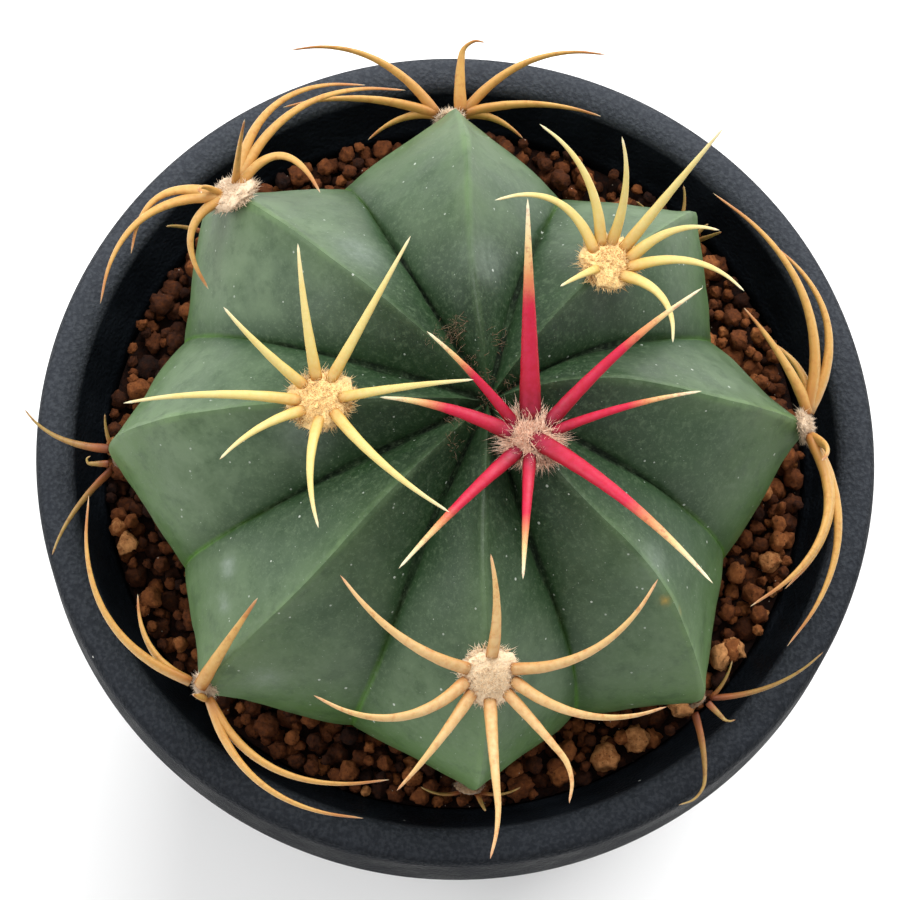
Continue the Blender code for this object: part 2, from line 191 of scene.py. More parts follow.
def dress(piece: bpy.types.Object, material: bpy.types.Material, slot: str, *nodes: str) -> bpy.types.Object:
    """Gives a piece its finish and its place in the frame.

    Args:
        piece: the finished object.
        material: what it is made of.
        slot: not used.
        nodes: the CAD nodes that it stands for.

    Returns:
        The same piece.
    """
    piece.data.materials.clear()
    piece.data.materials.append(material)
    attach(piece, BODY)
    if nodes:
        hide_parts(*nodes)
    LOG.info("%s: %d points, for %s", piece.name, len(piece.data.vertices), ", ".join(nodes) or "detail")
    return piece


# ---- shader nodes --------------------------------------------------------------------------


class Recipe:
    """A material's node tree, with a short way to add each kind of node that the finishes use."""

    def __init__(self, name: str, **shader: float) -> None:
        """Starts a material.

        Args:
            name: the material's name.
            shader: values for the shader's own sockets, with _ for a space in a socket's name.
        """
        self.material = bpy.data.materials.new(name)
        self.material.use_nodes = True
        self.tree = self.material.node_tree
        self.shader = self.tree.nodes["Principled BSDF"]
        for key, value in shader.items():
            self.shader.inputs[key.replace("_", " ")].default_value = value
        self.place = self.tree.nodes.new("ShaderNodeTexCoord").outputs["Object"]

    def link(self, source: Socket | float | Rgb, target: Socket) -> None:
        """Joins a socket to an input, or sets the input to a number or a colour.

        Args:
            source: the socket, number or colour.
            target: the input.
        """
        if isinstance(source, Socket):
            self.tree.links.new(source, target)
        elif isinstance(source, tuple) and len(target.default_value) == 4:
            target.default_value = (*source, 1.0)
        else:
            target.default_value = source

    def attribute(self, name: str) -> Socket:
        """Reads one of the mesh's attributes.

        Args:
            name: the attribute's name.

        Returns:
            Its value at each point.
        """
        node = self.tree.nodes.new("ShaderNodeAttribute")
        node.attribute_name = name
        return node.outputs["Fac"]

    def stretched(self, scale: Rgb) -> Socket:
        """Scales the object's coordinates.

        Args:
            scale: the scale along X, Y and Z.

        Returns:
            The scaled coordinates.
        """
        node = self.tree.nodes.new("ShaderNodeMapping")
        self.link(self.place, node.inputs["Vector"])
        node.inputs["Scale"].default_value = scale
        return node.outputs["Vector"]

    def noise(
        self, size: float, detail: float = 3.0, rough: float = 0.5, place: Socket | None = None
    ) -> Socket:
        """Adds soft noise.

        Args:
            size: the size of a blot, in metres.
            detail: how many finer layers it has.
            rough: how strong the finer layers are.
            place: the coordinates, if not the object's own.

        Returns:
            The noise, from 0 to 1.
        """
        node = self.tree.nodes.new("ShaderNodeTexNoise")
        self.link(place or self.place, node.inputs["Vector"])
        node.inputs["Scale"].default_value = 1 / size
        node.inputs["Detail"].default_value = detail
        node.inputs["Roughness"].default_value = rough
        return node.outputs["Fac"]

    def cells(self, size: float, feature: str = "F1") -> bpy.types.Node:
        """Divides space into cells.

        Args:
            size: a cell's size, in metres.
            feature: what the distance is measured to.

        Returns:
            The node, for its distance and colour.
        """
        node = self.tree.nodes.new("ShaderNodeTexVoronoi")
        node.feature = feature
        self.link(self.place, node.inputs["Vector"])
        node.inputs["Scale"].default_value = 1 / size
        return node

    def specks(self, size: float, radius: float, share: float) -> Socket:
        """Adds small round specks.

        Args:
            size: the spacing of the cells that may hold a speck, in metres.
            radius: a speck's radius, as a share of a cell.
            share: the share of cells that hold one.

        Returns:
            1 on a speck and 0 elsewhere.
        """
        cell = self.cells(size)
        near = self.math("LESS_THAN", cell.outputs["Distance"], radius)
        split = self.tree.nodes.new("ShaderNodeSeparateColor")
        self.link(cell.outputs["Color"], split.inputs[0])
        return self.math("MULTIPLY", near, self.math("LESS_THAN", split.outputs[0], share))

    def math(self, operation: str, a: Socket | float, b: Socket | float = 0.0, clamp: bool = False) -> Socket:
        """Works out a sum on two sockets or numbers.

        Args:
            operation: the Math node's operation.
            a: the first number.
            b: the second number.
            clamp: whether the result is kept in 0 to 1.

        Returns:
            The result.
        """
        node = self.tree.nodes.new("ShaderNodeMath")
        node.operation = operation
        node.use_clamp = clamp
        self.link(a, node.inputs[0])
        self.link(b, node.inputs[1])
        return node.outputs[0]

    def times(self, a: Socket, *factors: Socket | float) -> Socket:
        """Multiplies a socket by one or more factors.

        Args:
            a: the socket.
            factors: what it is multiplied by, in turn.

        Returns:
            The product.
        """
        for factor in factors:
            a = self.math("MULTIPLY", a, factor)
        return a

    def span(
        self, source: Socket, low: float, high: float, to_low: float = 0.0, to_high: float = 1.0
    ) -> Socket:
        """Maps a range smoothly onto another.

        Args:
            source: the number to map.
            low: the value that becomes to_low.
            high: the value that becomes to_high.
            to_low: the result at low and below it.
            to_high: the result at high and above it.

        Returns:
            The mapped number.
        """
        node = self.tree.nodes.new("ShaderNodeMapRange")
        node.interpolation_type = "SMOOTHSTEP"
        self.link(source, node.inputs["Value"])
        for key, value in zip(("From Min", "From Max", "To Min", "To Max"), (low, high, to_low, to_high)):
            node.inputs[key].default_value = value
        return node.outputs["Result"]

    def ramp(self, source: Socket, stops: Stops) -> Socket:
        """Returns colours along a ramp.

        Args:
            source: the number that picks the colour.
            stops: the place and colour of each stop, in order.

        Returns:
            The colour.
        """
        node = self.tree.nodes.new("ShaderNodeValToRGB")
        marks = node.color_ramp.elements
        while len(marks) < len(stops):
            marks.new(0.5)
        for mark, (at, colour) in zip(marks, stops):
            mark.position = at
            mark.color = (*colour, 1.0)
        self.link(source, node.inputs[0])
        return node.outputs[0]

    def mix(self, factor: Socket | float, a: Socket | Rgb, b: Socket | Rgb) -> Socket:
        """Lays one colour over another.

        Args:
            factor: how much of b shows.
            a: the colour below.
            b: the colour above.

        Returns:
            The mixed colour.
        """
        node = self.tree.nodes.new("ShaderNodeMix")
        node.data_type = "RGBA"
        self.link(factor, node.inputs[0])
        self.link(a, node.inputs[6])
        self.link(b, node.inputs[7])
        return node.outputs[2]

    def bump(self, height: Socket, depth: float, strength: float, over: Socket | None = None) -> Socket:
        """Returns a bumped normal.

        Args:
            height: the relief, from 0 to 1.
            depth: how high 1 stands, in metres.
            strength: how much of the relief is felt.
            over: a coarser bump that this one lies on.

        Returns:
            The normal.
        """
        node = self.tree.nodes.new("ShaderNodeBump")
        node.inputs["Strength"].default_value = strength
        node.inputs["Distance"].default_value = depth
        self.link(height, node.inputs["Height"])
        if over is not None:
            self.link(over, node.inputs["Normal"])
        return node.outputs[0]

    def finish(
        self,
        colour: Socket,
        roughness: Socket | None = None,
        normal: Socket | None = None,
    ) -> bpy.types.Material:
        """Joins the results to the shader.

        Args:
            colour: the base colour.
            roughness: the roughness, if it varies.
            normal: the bumped normal, if there is one.

        Returns:
            The material.
        """
        self.link(colour, self.shader.inputs["Base Color"])
        if roughness is not None:
            self.link(roughness, self.shader.inputs["Roughness"])
        if normal is not None:
            self.link(normal, self.shader.inputs["Normal"])
        return self.material


# ---- finishes ------------------------------------------------------------------------------


@dataclass(frozen=True)
class WaxySkin:
    """Green skin under a grey bloom, a little paler on the crests, with painted shade in the folds beside the
    creases and near-black painted shade deep in the creases of the crown.
    """

    young: Rgb = (0.012, 0.027, 0.012)
    grown: Rgb = (0.026, 0.058, 0.023)
    old: Rgb = (0.088, 0.170, 0.042)
    bloom: Rgb = (0.108, 0.160, 0.088)
    crest: Rgb = (0.115, 0.195, 0.068)
    # painted shade: the near-black of the creases near the crown
    crease: Rgb = (0.003, 0.007, 0.003)
    crease_out: Rgb = (0.066, 0.170, 0.016)
    # painted shade for the folds beside the creases, also the darker green of the mottling
    shade: Rgb = (0.016, 0.044, 0.013)
    dust: Rgb = (0.40, 0.44, 0.38)
    mark: Rgb = (0.27, 0.32, 0.29)
    rust: Rgb = (0.42, 0.26, 0.04)
    # each size of speck: its spacing in millimetres, its radius and share of the cells, its strength
    speckle: tuple[tuple[float, float, float, float], ...] = (
        (0.62, 0.10, 0.10, 0.42), (1.2, 0.115, 0.14, 0.60), (2.9, 0.062, 0.50, 0.9),
    )

    def bloomed(self, r: Recipe, base: Socket, arc: Socket, blots: Socket) -> Socket:
        """Lays the grey bloom over the green, thin in the creases and low on the plant.

        Args:
            r: the skin's recipe.
            base: the green.
            arc: the way down from the crown, 0 to 1.
            blots: the noise that the bloom breaks up by.

        Returns:
            The colour.
        """
        cover = r.times(
            r.span(blots, 0.28, 0.74, 0.25, 1.0),
            r.span(arc, 0.18, 0.74, 0.06, 0.88),
            r.span(r.noise(17 * MM, 2.0, 0.5), 0.30, 0.65, 0.45, 1.0),
            r.span(r.attribute("to_crease"), 0.2, 3.5, 0.15, 1.0),
            r.span(arc, 0.62, 0.82, 1.0, 0.35),
            # the bloom attribute is partly real bloom and partly painted light and shade on each flank
            r.attribute("bloom"),
        )
        return r.mix(cover, base, self.bloom)

    def ribbed(self, r: Recipe, base: Socket, arc: Socket, blots: Socket) -> Socket:
        """Lightens the crests, paints shade into the folds and draws the creases, painted near-black as shade
        near the crown.

        Args:
            r: the skin's recipe.
            base: the bloomed green.
            arc: the way down from the crown, 0 to 1.
            blots: the noise that the lines break up by.

        Returns:
            The colour.
        """
        to_crest, to_crease = r.attribute("to_crest"), r.attribute("to_crease")
        near = r.times(r.span(to_crest, 0.5, 3.5, 0.20, 0.0), r.span(arc, 0.15, 0.5))
        base = r.mix(near, base, self.crest)
        line = r.times(
            r.span(to_crest, 0.1, 0.70, 1.0, 0.0),
            r.span(arc, 0.15, 0.7, 0.16, 0.48),
            r.span(blots, 0.35, 0.65, 0.4, 1.0),
        )
        base = r.mix(line, base, self.crest)
        # Painted shade: the flanks darken within 3 mm of a crease, most near the crown.
        painted_fold_shade = r.times(r.span(to_crease, 0.2, 3.0, 1.0, 0.0), r.span(arc, 0.40, 0.80, 0.60, 0.28))
        base = r.mix(painted_fold_shade, base, self.shade)
        # Painted shade: the crease line is near-black near the crown and turns to its own bright green
        # outward.
        crease = r.mix(r.span(arc, 0.35, 0.80), self.crease, self.crease_out)
        vivid = r.times(r.span(to_crease, 0.08, 0.40, 0.95, 0.0), r.span(blots, 0.30, 0.60, 0.35, 1.0))
        return r.mix(vivid, base, crease)

    def flecked(self, r: Recipe, base: Socket, fine: Socket) -> Socket:
        """Adds the mottling, the specks of dust and the marks.

        Args:
            r: the skin's recipe.
            base: the ribbed green.
            fine: fine noise.

        Returns:
            The colour.
        """
        base = r.mix(r.span(fine, 0.45, 0.78, 0.0, 0.40), base, self.bloom)
        base = r.mix(r.span(r.noise(2.6 * MM, 5.0, 0.72), 0.46, 0.72, 0.0, 0.50), base, self.shade)
        base = r.mix(r.span(r.noise(0.32 * MM, 2.0, 0.6), 0.56, 0.74, 0.0, 0.42), base, self.bloom)
        for spacing, radius, share, strength in self.speckle:
            base = r.mix(r.times(r.specks(spacing * MM, radius, share), strength), base, self.dust)
        thick = r.times(r.span(r.noise(14 * MM, 2.0), 0.50, 0.68), 0.55)
        base = r.mix(r.times(r.specks(0.75 * MM, 0.11, 0.35), thick), base, self.dust)
        base = r.mix(r.times(r.attribute("smudge"), r.span(fine, 0.2, 0.6, 0.5, 1.0)), base, self.mark)
        return r.mix(r.attribute("scar"), base, self.rust)

    def material(self) -> bpy.types.Material:
        """Makes the skin's material.

        Returns:
            The finished material.
        """
        r = Recipe("waxy_skin", Specular_IOR_Level=0.32, Coat_Weight=0.05, Coat_Roughness=0.4)
        arc = r.attribute("arc")
        blots = r.noise(6 * MM, 4.0, 0.6)
        fine = r.noise(0.8 * MM, 3.0, 0.65)
        base = r.ramp(arc, ((0.20, self.young), (0.55, self.grown), (0.95, self.old)))
        base = self.bloomed(r, base, arc, blots)
        base = self.ribbed(r, base, arc, blots)
        base = self.flecked(r, base, fine)
        normal = r.bump(blots, 0.22 * MM, 0.35)
        normal = r.bump(fine, 0.05 * MM, 0.5, normal)
        return r.finish(base, r.span(blots, 0.25, 0.8, 0.40, 0.60), normal)


@dataclass(frozen=True)
class Horn:
    """The horn of a spine: colours from the root to the tip, with cross rings, mottling and a paler film
    along its upper side that is partly painted sheen.
    """

    name: str
    stops: Stops
    mottle: Rgb
    mottle_share: float
    bloom: Rgb
    film_and_sheen_share: float
    roughness: float = 0.48

    def material(self) -> bpy.types.Material:
        """Makes the spine's material.

        Returns:
            The finished material.
        """
        r = Recipe(self.name, Subsurface_Weight=0.10, Subsurface_Scale=0.0006, Specular_IOR_Level=0.30)
        along = r.attribute("along")
        wander = r.noise(1.6 * MM, 3.0, 0.6)
        shifted = r.math("ADD", along, r.times(r.math("SUBTRACT", wander, 0.5), 0.10))
        base = r.ramp(shifted, self.stops)
        spots = r.span(r.noise(0.8 * MM, 4.0, 0.65), 0.48, 0.68, 0.0, self.mottle_share)
        base = r.mix(spots, base, self.mottle)
        # Painted sheen: a paler film along each spine's upper side (the crown attribute), partly a real waxy
        # film, fading towards the tip.
        fade = r.span(along, 0.35, 0.75, self.film_and_sheen_share, 0.0)
        patches = r.span(r.noise(0.7 * MM, 2.0), 0.3, 0.7, 0.35, 1.0)
        base = r.mix(r.times(r.span(r.attribute("crown"), 0.35, 0.95), patches, fade), base, self.bloom)
        wave = r.math("SINE", r.math("ADD", r.attribute("rings"), r.times(wander, 5.0)))
        normal = r.bump(wave, 0.012 * MM, 0.16)
        normal = r.bump(r.noise(0.25 * MM, 2.0), 0.02 * MM, 0.5, normal)
        return r.finish(base, r.span(wander, 0.3, 0.7, self.roughness - 0.06, self.roughness + 0.12), normal)


@dataclass(frozen=True)
class Wool:
    """Short matted wool, darker at its roots, and its fibres' length in millimetres and number."""

    name: str
    root: Rgb
    tip: Rgb
    stain: Rgb
    length: float
    fibres: int

    def material(self) -> bpy.types.Material:
        """Makes the wool's material.

        Returns:
            The finished material.
        """
        r = Recipe(self.name, Roughness=0.9, Specular_IOR_Level=0.15, Sheen_Weight=0.25, Sheen_Roughness=0.5)
        base = r.mix(r.span(r.attribute("along"), 0.0, 0.8), self.root, self.tip)
        base = r.mix(r.attribute("stain"), base, self.stain)
        felt = r.noise(0.34 * MM, 3.0, 0.65)
        # Painted shade: the felt's hollows darken towards the root colour.
        base = r.mix(r.span(felt, 0.38, 0.60, 0.40, 0.0), base, self.root)
        normal = r.bump(felt, 0.28 * MM, 0.9)
        return r.finish(base, r.span(r.noise(0.4 * MM), 0.3, 0.7, 0.8, 0.98), normal)


@dataclass(frozen=True)
class Pebbled:
    """Black plastic with a fine pebbled skin, scuffed a little and dusty, its lip lighter as partly painted
    light and darker on the front half as painted shade.
    """

    black: Rgb = (0.0036, 0.0048, 0.0064)
    dust: Rgb = (0.012, 0.015, 0.020)
    lip: Rgb = (0.038, 0.042, 0.050)
    worn: Rgb = (0.056, 0.062, 0.071)
    scuff: Rgb = (0.13, 0.135, 0.14)
    speck: Rgb = (0.45, 0.45, 0.43)

    def material(self) -> bpy.types.Material:
        """Makes the pot's material.

        Returns:
            The finished material.
        """
        r = Recipe("pebbled_plastic", Specular_IOR_Level=0.025)
        pebbles = r.cells(0.50 * MM, "SMOOTH_F1")
        wrinkles = r.noise(0.42 * MM, 3.0, 0.6)
        grain = r.math("SUBTRACT", wrinkles, r.times(pebbles.outputs["Distance"], 0.7))
        blots = r.noise(7 * MM, 4.0, 0.6)
        base = r.mix(r.span(blots, 0.35, 0.75, 0.0, 0.45), self.black, self.dust)
        # The edge attribute carries real scuffing on the edges, painted light on the lip's top and painted
        # shade on the pot's front half.
        edge = r.attribute("edge")
        base = r.mix(edge, base, self.lip)
        base = r.mix(r.times(r.span(grain, 0.05, 0.40, 0.0, 0.75), edge), base, self.worn)
        base = r.mix(r.times(r.specks(3.2 * MM, 0.045, 0.14), 0.8), base, self.speck)
        scuff = r.span(r.noise(1.3 * MM, 5.0, 0.75, r.stretched((1.0, 1.0, 0.25))), 0.62, 0.76, 0.0, 0.35)
        base = r.mix(r.times(scuff, edge), base, self.scuff)
        rough = r.span(blots, 0.3, 0.7, 0.42, 0.58)
        normal = r.bump(grain, 0.24 * MM, 0.9)
        normal = r.bump(r.noise(0.16 * MM, 2.0), 0.02 * MM, 0.5, normal)
        return r.finish(base, rough, normal)


@dataclass(frozen=True)
class FiredClay:
    """Porous reddish-brown granules, each with its own tint."""

    name: str
    tints: Stops
    pore: Rgb = (0.018, 0.008, 0.004)
    # painted glint: pale specks that stand for small highlights
    painted_glint: Rgb = (0.75, 0.66, 0.54)

    def material(self) -> bpy.types.Material:
        """Makes the granules' material.

        Returns:
            The finished material.
        """
        r = Recipe(self.name, Roughness=0.95, Specular_IOR_Level=0.2)
        tint = r.attribute("tint")
        grain = r.noise(0.7 * MM, 5.0, 0.7)
        swing = r.times(r.math("SUBTRACT", grain, 0.5), 0.70)
        base = r.ramp(r.math("ADD", tint, swing, clamp=True), self.tints)
        base = r.mix(r.times(r.specks(0.42 * MM, 0.26, 0.30), 0.6), base, self.pore)
        # Painted glints: pale specks on a few cells.
        base = r.mix(r.times(r.specks(0.60 * MM, 0.14, 0.03), 0.8), base, self.painted_glint)
        normal = r.bump(grain, 0.40 * MM, 0.9)
        normal = r.bump(r.noise(0.2 * MM, 3.0, 0.7), 0.08 * MM, 0.8, normal)
        return r.finish(base, r.span(grain, 0.3, 0.7, 0.82, 1.0), normal)


# ---- the plant's form ----------------------------------------------------------------------


class Age(Enum):
    """How old an areole is, which sets the look of its spines and wool."""

    NEW = "crimson"
    YOUNG = "cream"
    GROWN = "tan"
    AGED = "amber"
    OLD = "olive"


@dataclass(frozen=True)
class Areole:
    """One wool pad with its spines: places in degrees and millimetres.

    Each spine is (bearing, reach, rise, turn) with a hook angle where it has one, and widths
    says how stout each is against the areole's own radius. A worn areole has lost some of the
    pad's fullness.
    """

    number: int
    age: Age
    rib: int
    arc: float
    pad: tuple[float, float, float]
    radius: float
    start: float
    spines: tuple[tuple[float, ...], ...]
    widths: tuple[float, ...] = ()
    fullness: float = 1.0

    @property
    def node(self) -> str:
        """The CAD node that this areole stands for."""
        return f"spine_cluster_{self.number:02d}"


AREOLES = (
    Areole(1, Age.NEW, 7, 8.6, (3.2, 2.8, 1.0), 1.25, 2.4, (
        (92, 25, 12, 0), (39, 25, 8, -8), (13, 20, 4, -4), (-45, 28, 10, -12),
        (-94, 18, 4, 0), (-132, 23, 5, 0), (168, 18, 3, 12), (140, 16, 7.5, 6)),
        (1.04, 0.80, 0.54, 0.98, 0.68, 0.78, 0.88, 0.62)),
    Areole(2, Age.YOUNG, 4, 19.8, (3.2, 2.8, 0.9), 0.74, 2.3, (
        (99, 17, 6, -4), (59, 20, 8, 6), (0, 17.5, 8, 0), (-45, 21, 5, 20),
        (-90, 16.5, 4, 25), (-144, 14, 3, 20), (-175, 22.5, 4, 12), (140, 14.5, 5, -12)),
        fullness=1.18),
    Areole(3, Age.YOUNG, 1, 23.8, (3.2, 2.8, 0.9), 0.78, 2.2, (
        (122, 16.5, 8, 45), (86, 12.5, 8, 30), (46, 18, 10, 0), (10, 12.5, 5, -50),
        (-18, 16, 4, -50), (-58, 13, 3, -60), (-142, 8, 5, 0), (158, 15, 5, 75)),
        fullness=1.14),
    Areole(4, Age.GROWN, 6, 34.2, (3.2, 2.8, 0.9), 0.82, 2.8, (
        (91, 12.5, 9, 20), (29, 22, 5, 50), (-11, 20.5, 3, 45), (-49, 18, 0, -10, -45),
        (-86, 21.5, 2, 5, -20), (-129, 17, 0, 0), (-172, 20.5, 3, -60), (148, 20.5, 5, -30)),
        fullness=1.15),
    Areole(5, Age.AGED, 3, 43.0, (3.0, 2.2, 0.9), 0.92, 1.1, (
        (200, 4.5, 4, 60, 60), (67, 5, 12, 0), (38, 20.5, 3, -75), (29, 24, 4, -60),
        (-8, 11, 4, -110), (-148, 14, -2, 90), (-139, 20.5, -3, 70), (-103, 11.5, -4, 90)),
        fullness=1.25),
    Areole(6, Age.AGED, 0, 50.0, (2.8, 1.8, 0.9), 1.12, 1.6, (
        (115, 29, 10, 55), (103, 23, 4, 65), (125, 15, 8, 0), (115, 12, 0, 40),
        (-109, 25.5, 5, -65), (-97, 28, 0, -50), (-100, 21.5, 2, -55), (-86, 6.5, 7, -60)),
        fullness=0.90),
    Areole(7, Age.AGED, 5, 52.0, (2.6, 1.8, 0.9), 0.9, 1.6, (
        (121, 26, 6, -60), (123, 14, 0, -40), (48, 10.5, 15, 0), (-39, 25, 3, 50),
        (-26, 25, 2, 55), (-105, 2, 7, 0)),
        fullness=0.70),
    Areole(8, Age.AGED, 2, 57.0, (2.6, 1.8, 0.9), 0.9, 1.6, (
        (159, 21.5, 2, 50), (78, 10.5, 5, -20, -90), (21, 21, 2, -45), (178, 21, 0, 15),
        (0, 19, 0, -15), (-167, 10.5, -3, 30), (-14, 9.5, -2, -30)),
        fullness=0.75),
    Areole(9, Age.OLD, 7, 57.0, (2.4, 1.8, 0.8), 0.6, 1.4, (
        (22, 15.5, 4, 20), (-42, 4.5, 2, 0, 60), (-94, 14, 1, -20, -50), (55, 6, 3, 10)),
        fullness=0.60),
    Areole(10, Age.OLD, 4, 61.0, (2.4, 1.8, 0.8), 0.6, 1.4, (
        (153, 12, 3, -40), (-165, 4, 2, 0, -150), (-118, 14.5, 3, 10), (100, 5, 3, 0)),
        fullness=0.60),
    Areole(11, Age.OLD, 1, 61.0, (2.2, 1.7, 0.7), 0.5, 1.2, (
        (20, 3.2, 2.5, 0), (90, 6, 3, 20), (-10, 4.5, 5, 10), (150, 7, 4, -20))),
    Areole(12, Age.OLD, 6, 62.0, (2.2, 1.7, 0.7), 0.5, 1.2, (
        (-60, 3.5, 4, 0), (0, 6, 3, 20), (180, 6, 3, -20))),
    Areole(13, Age.OLD, 3, 62.5, (2.2, 1.7, 0.7), 0.5, 1.2, (
        (110, 3.5, 4, 0), (60, 5.5, 3, -15), (190, 5.5, 3, 15))),
)


@dataclass
class PlantForm:
    """The ribbed globe's shape: eight ribs, counter-clockwise from the one along +X.

    Radii and heights are millimetres from the globe's centre, before it leans.
    """

    bearings: tuple[float, ...] = (3, 45, 91, 136, 182, 225.5, 273, 313)
    crown_turns: tuple[float, ...] = (9, 7, 7, 1, 5, 3, -6, -3)
    bows: tuple[float, ...] = (-1.0, 0.0, 0.0, 0.5, 1.0, 3.2, 0.6, 3.8)
    bow_radius: float = 27.0
    bow_width: float = 11.5
    reaches: tuple[float, ...] = (1.0, 0.985, 1.0, 1.02, 1.0, 1.03, 1.01, 1.01)
    crown_shift: float = 1.6
    crown_reach: float = 30.0
    turn_reach: float = 34.0
    full_reach: float = 36.0
    rise: float = 10.0
    back: float = -1.6
    lean_right: float = 4.0
    lean_front: float = 1.0
    samples: int = 241
    crest_points: tuple[tuple[float, float], ...] = (
        (0, 17), (4, 19.5), (10, 21), (18, 20.4), (26, 18), (33, 13.6), (38.5, 7.6), (41.9, 1.2),
        (42, -4.5), (40, -10), (36.5, -15.5), (31, -20.5), (22, -25), (9, -28.5), (4.5, -34), (0, -45),
    )
    valley_points: tuple[tuple[float, float], ...] = (
        (0, 16.5), (4, 16.6), (10, 15.8), (18, 13.4), (25, 9.6), (30.5, 4.6), (34.2, -1), (35.6, -6),
        (35.2, -11), (33.4, -15.5), (30, -19), (25, -22.5), (18, -25.5), (8.5, -29), (4.5, -34), (0, -45),
    )

    def __post_init__(self) -> None:
        """Works out the two profiles and the lean."""
        self.crest = smooth_line(list(self.crest_points), self.samples)
        self.valley = smooth_line(list(self.valley_points), self.samples)
        steps = np.hypot(*np.diff(self.crest, axis=0).T)
        self.arcs = np.concatenate([[0.0], np.cumsum(steps)])
        lean = Matrix.Rotation(math.radians(self.lean_right), 3, "Y")
        lean = lean @ Matrix.Rotation(math.radians(self.lean_front), 3, "X")
        self.lean = np.array(lean)
        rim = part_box("pot")[1][2] / MM
        self.centre = np.array([0.0, self.back, rim + self.rise])

    def world(self, points: np.ndarray) -> np.ndarray:
        """Returns points of the upright plant in the frame, still in millimetres."""
        return self.centre + points @ self.lean.T

    def bearing(self, rib: np.ndarray, radius: np.ndarray) -> np.ndarray:
        """Works out the bearing of a rib's crest.

        Args:
            rib: the number of the rib.
            radius: the distance from the axis, in millimetres.

        Returns:
            The bearing, in degrees.
        """
        turn = np.array(self.crown_turns)[rib] * (1 - ease(radius / self.turn_reach))
        bow = np.array(self.bows)[rib] * bell(radius - self.bow_radius, self.bow_width)
        return np.array(self.bearings)[rib] + turn + bow

    def reach(self, rib: np.ndarray, radius: np.ndarray) -> np.ndarray:
        """Returns how far a rib stands out, against the mean."""
        return 1 + (np.array(self.reaches)[rib] - 1) * ease(radius / self.full_reach)

    def shifted(self, points: np.ndarray) -> np.ndarray:
        """Leans the crown over towards +X.

        Args:
            points: the upright plant's points.

        Returns:
            The same points, moved.
        """
        away = np.hypot(points[..., 0], points[..., 1])
        shift = self.crown_shift * (1 - ease(away / self.crown_reach))
        points[..., 0] += np.where(points[..., 2] > 0, shift, 0.0)
        return points

    def skin(self, rib: np.ndarray, side: np.ndarray, share: np.ndarray) -> np.ndarray:
        """Finds points of the skin, without its relief.

        Args:
            rib: the number of the rib.
            side: -1 to 1 across the rib, 0 on its crest.
            share: 0 at the crown to 1 at the root's end.

        Returns:
            The points, in the upright plant's millimetres.
        """
        depth = np.abs(side)
        at = share * (self.samples - 1)
        index = np.arange(self.samples)
        crest = [np.interp(at, index, self.crest[:, k]) for k in (0, 1)]
        valley = [np.interp(at, index, self.valley[:, k]) for k in (0, 1)]
        radius = crest[0] * (1 - depth) + valley[0] * depth
        height = crest[1] * (1 - depth) + valley[1] * depth
        other = (rib + np.where(side > 0, 1, -1)) % len(self.bearings)
        own = self.bearing(rib, radius)
        gap = (self.bearing(other, radius) - own + 180) % 360 - 180
        angle = np.radians(own + gap * depth / 2)
        stretch = self.reach(rib, radius) * (1 - depth / 2) + self.reach(other, radius) * depth / 2
        flat = radius * stretch
        return self.shifted(np.stack([flat * np.cos(angle), flat * np.sin(angle), height], -1))

    def crest_place(self, rib: int, arc: float) -> tuple[np.ndarray, np.ndarray]:
        """Finds a place on a rib's crest.

        Args:
            rib: the number of the rib.
            arc: the way down the crest from the crown's middle.

        Returns:
            The point and the outward direction there, in the frame.
        """
        k = int(np.searchsorted(self.arcs, arc)) - 1
        f = (arc - self.arcs[k]) / (self.arcs[k + 1] - self.arcs[k])
        radius, height = self.crest[k] * (1 - f) + self.crest[k + 1] * f
        slope = unit(self.crest[k + 1] - self.crest[k])
        angle = math.radians(float(self.bearing(rib, radius)))
        flat = radius * float(self.reach(rib, radius))
        point = self.shifted(np.array([flat * math.cos(angle), flat * math.sin(angle), height]))
        normal = np.array([-slope[1] * math.cos(angle), -slope[1] * math.sin(angle), slope[0]])
        return self.world(point), unit(self.lean @ normal)


# ---- the plant's skin ----------------------------------------------------------------------


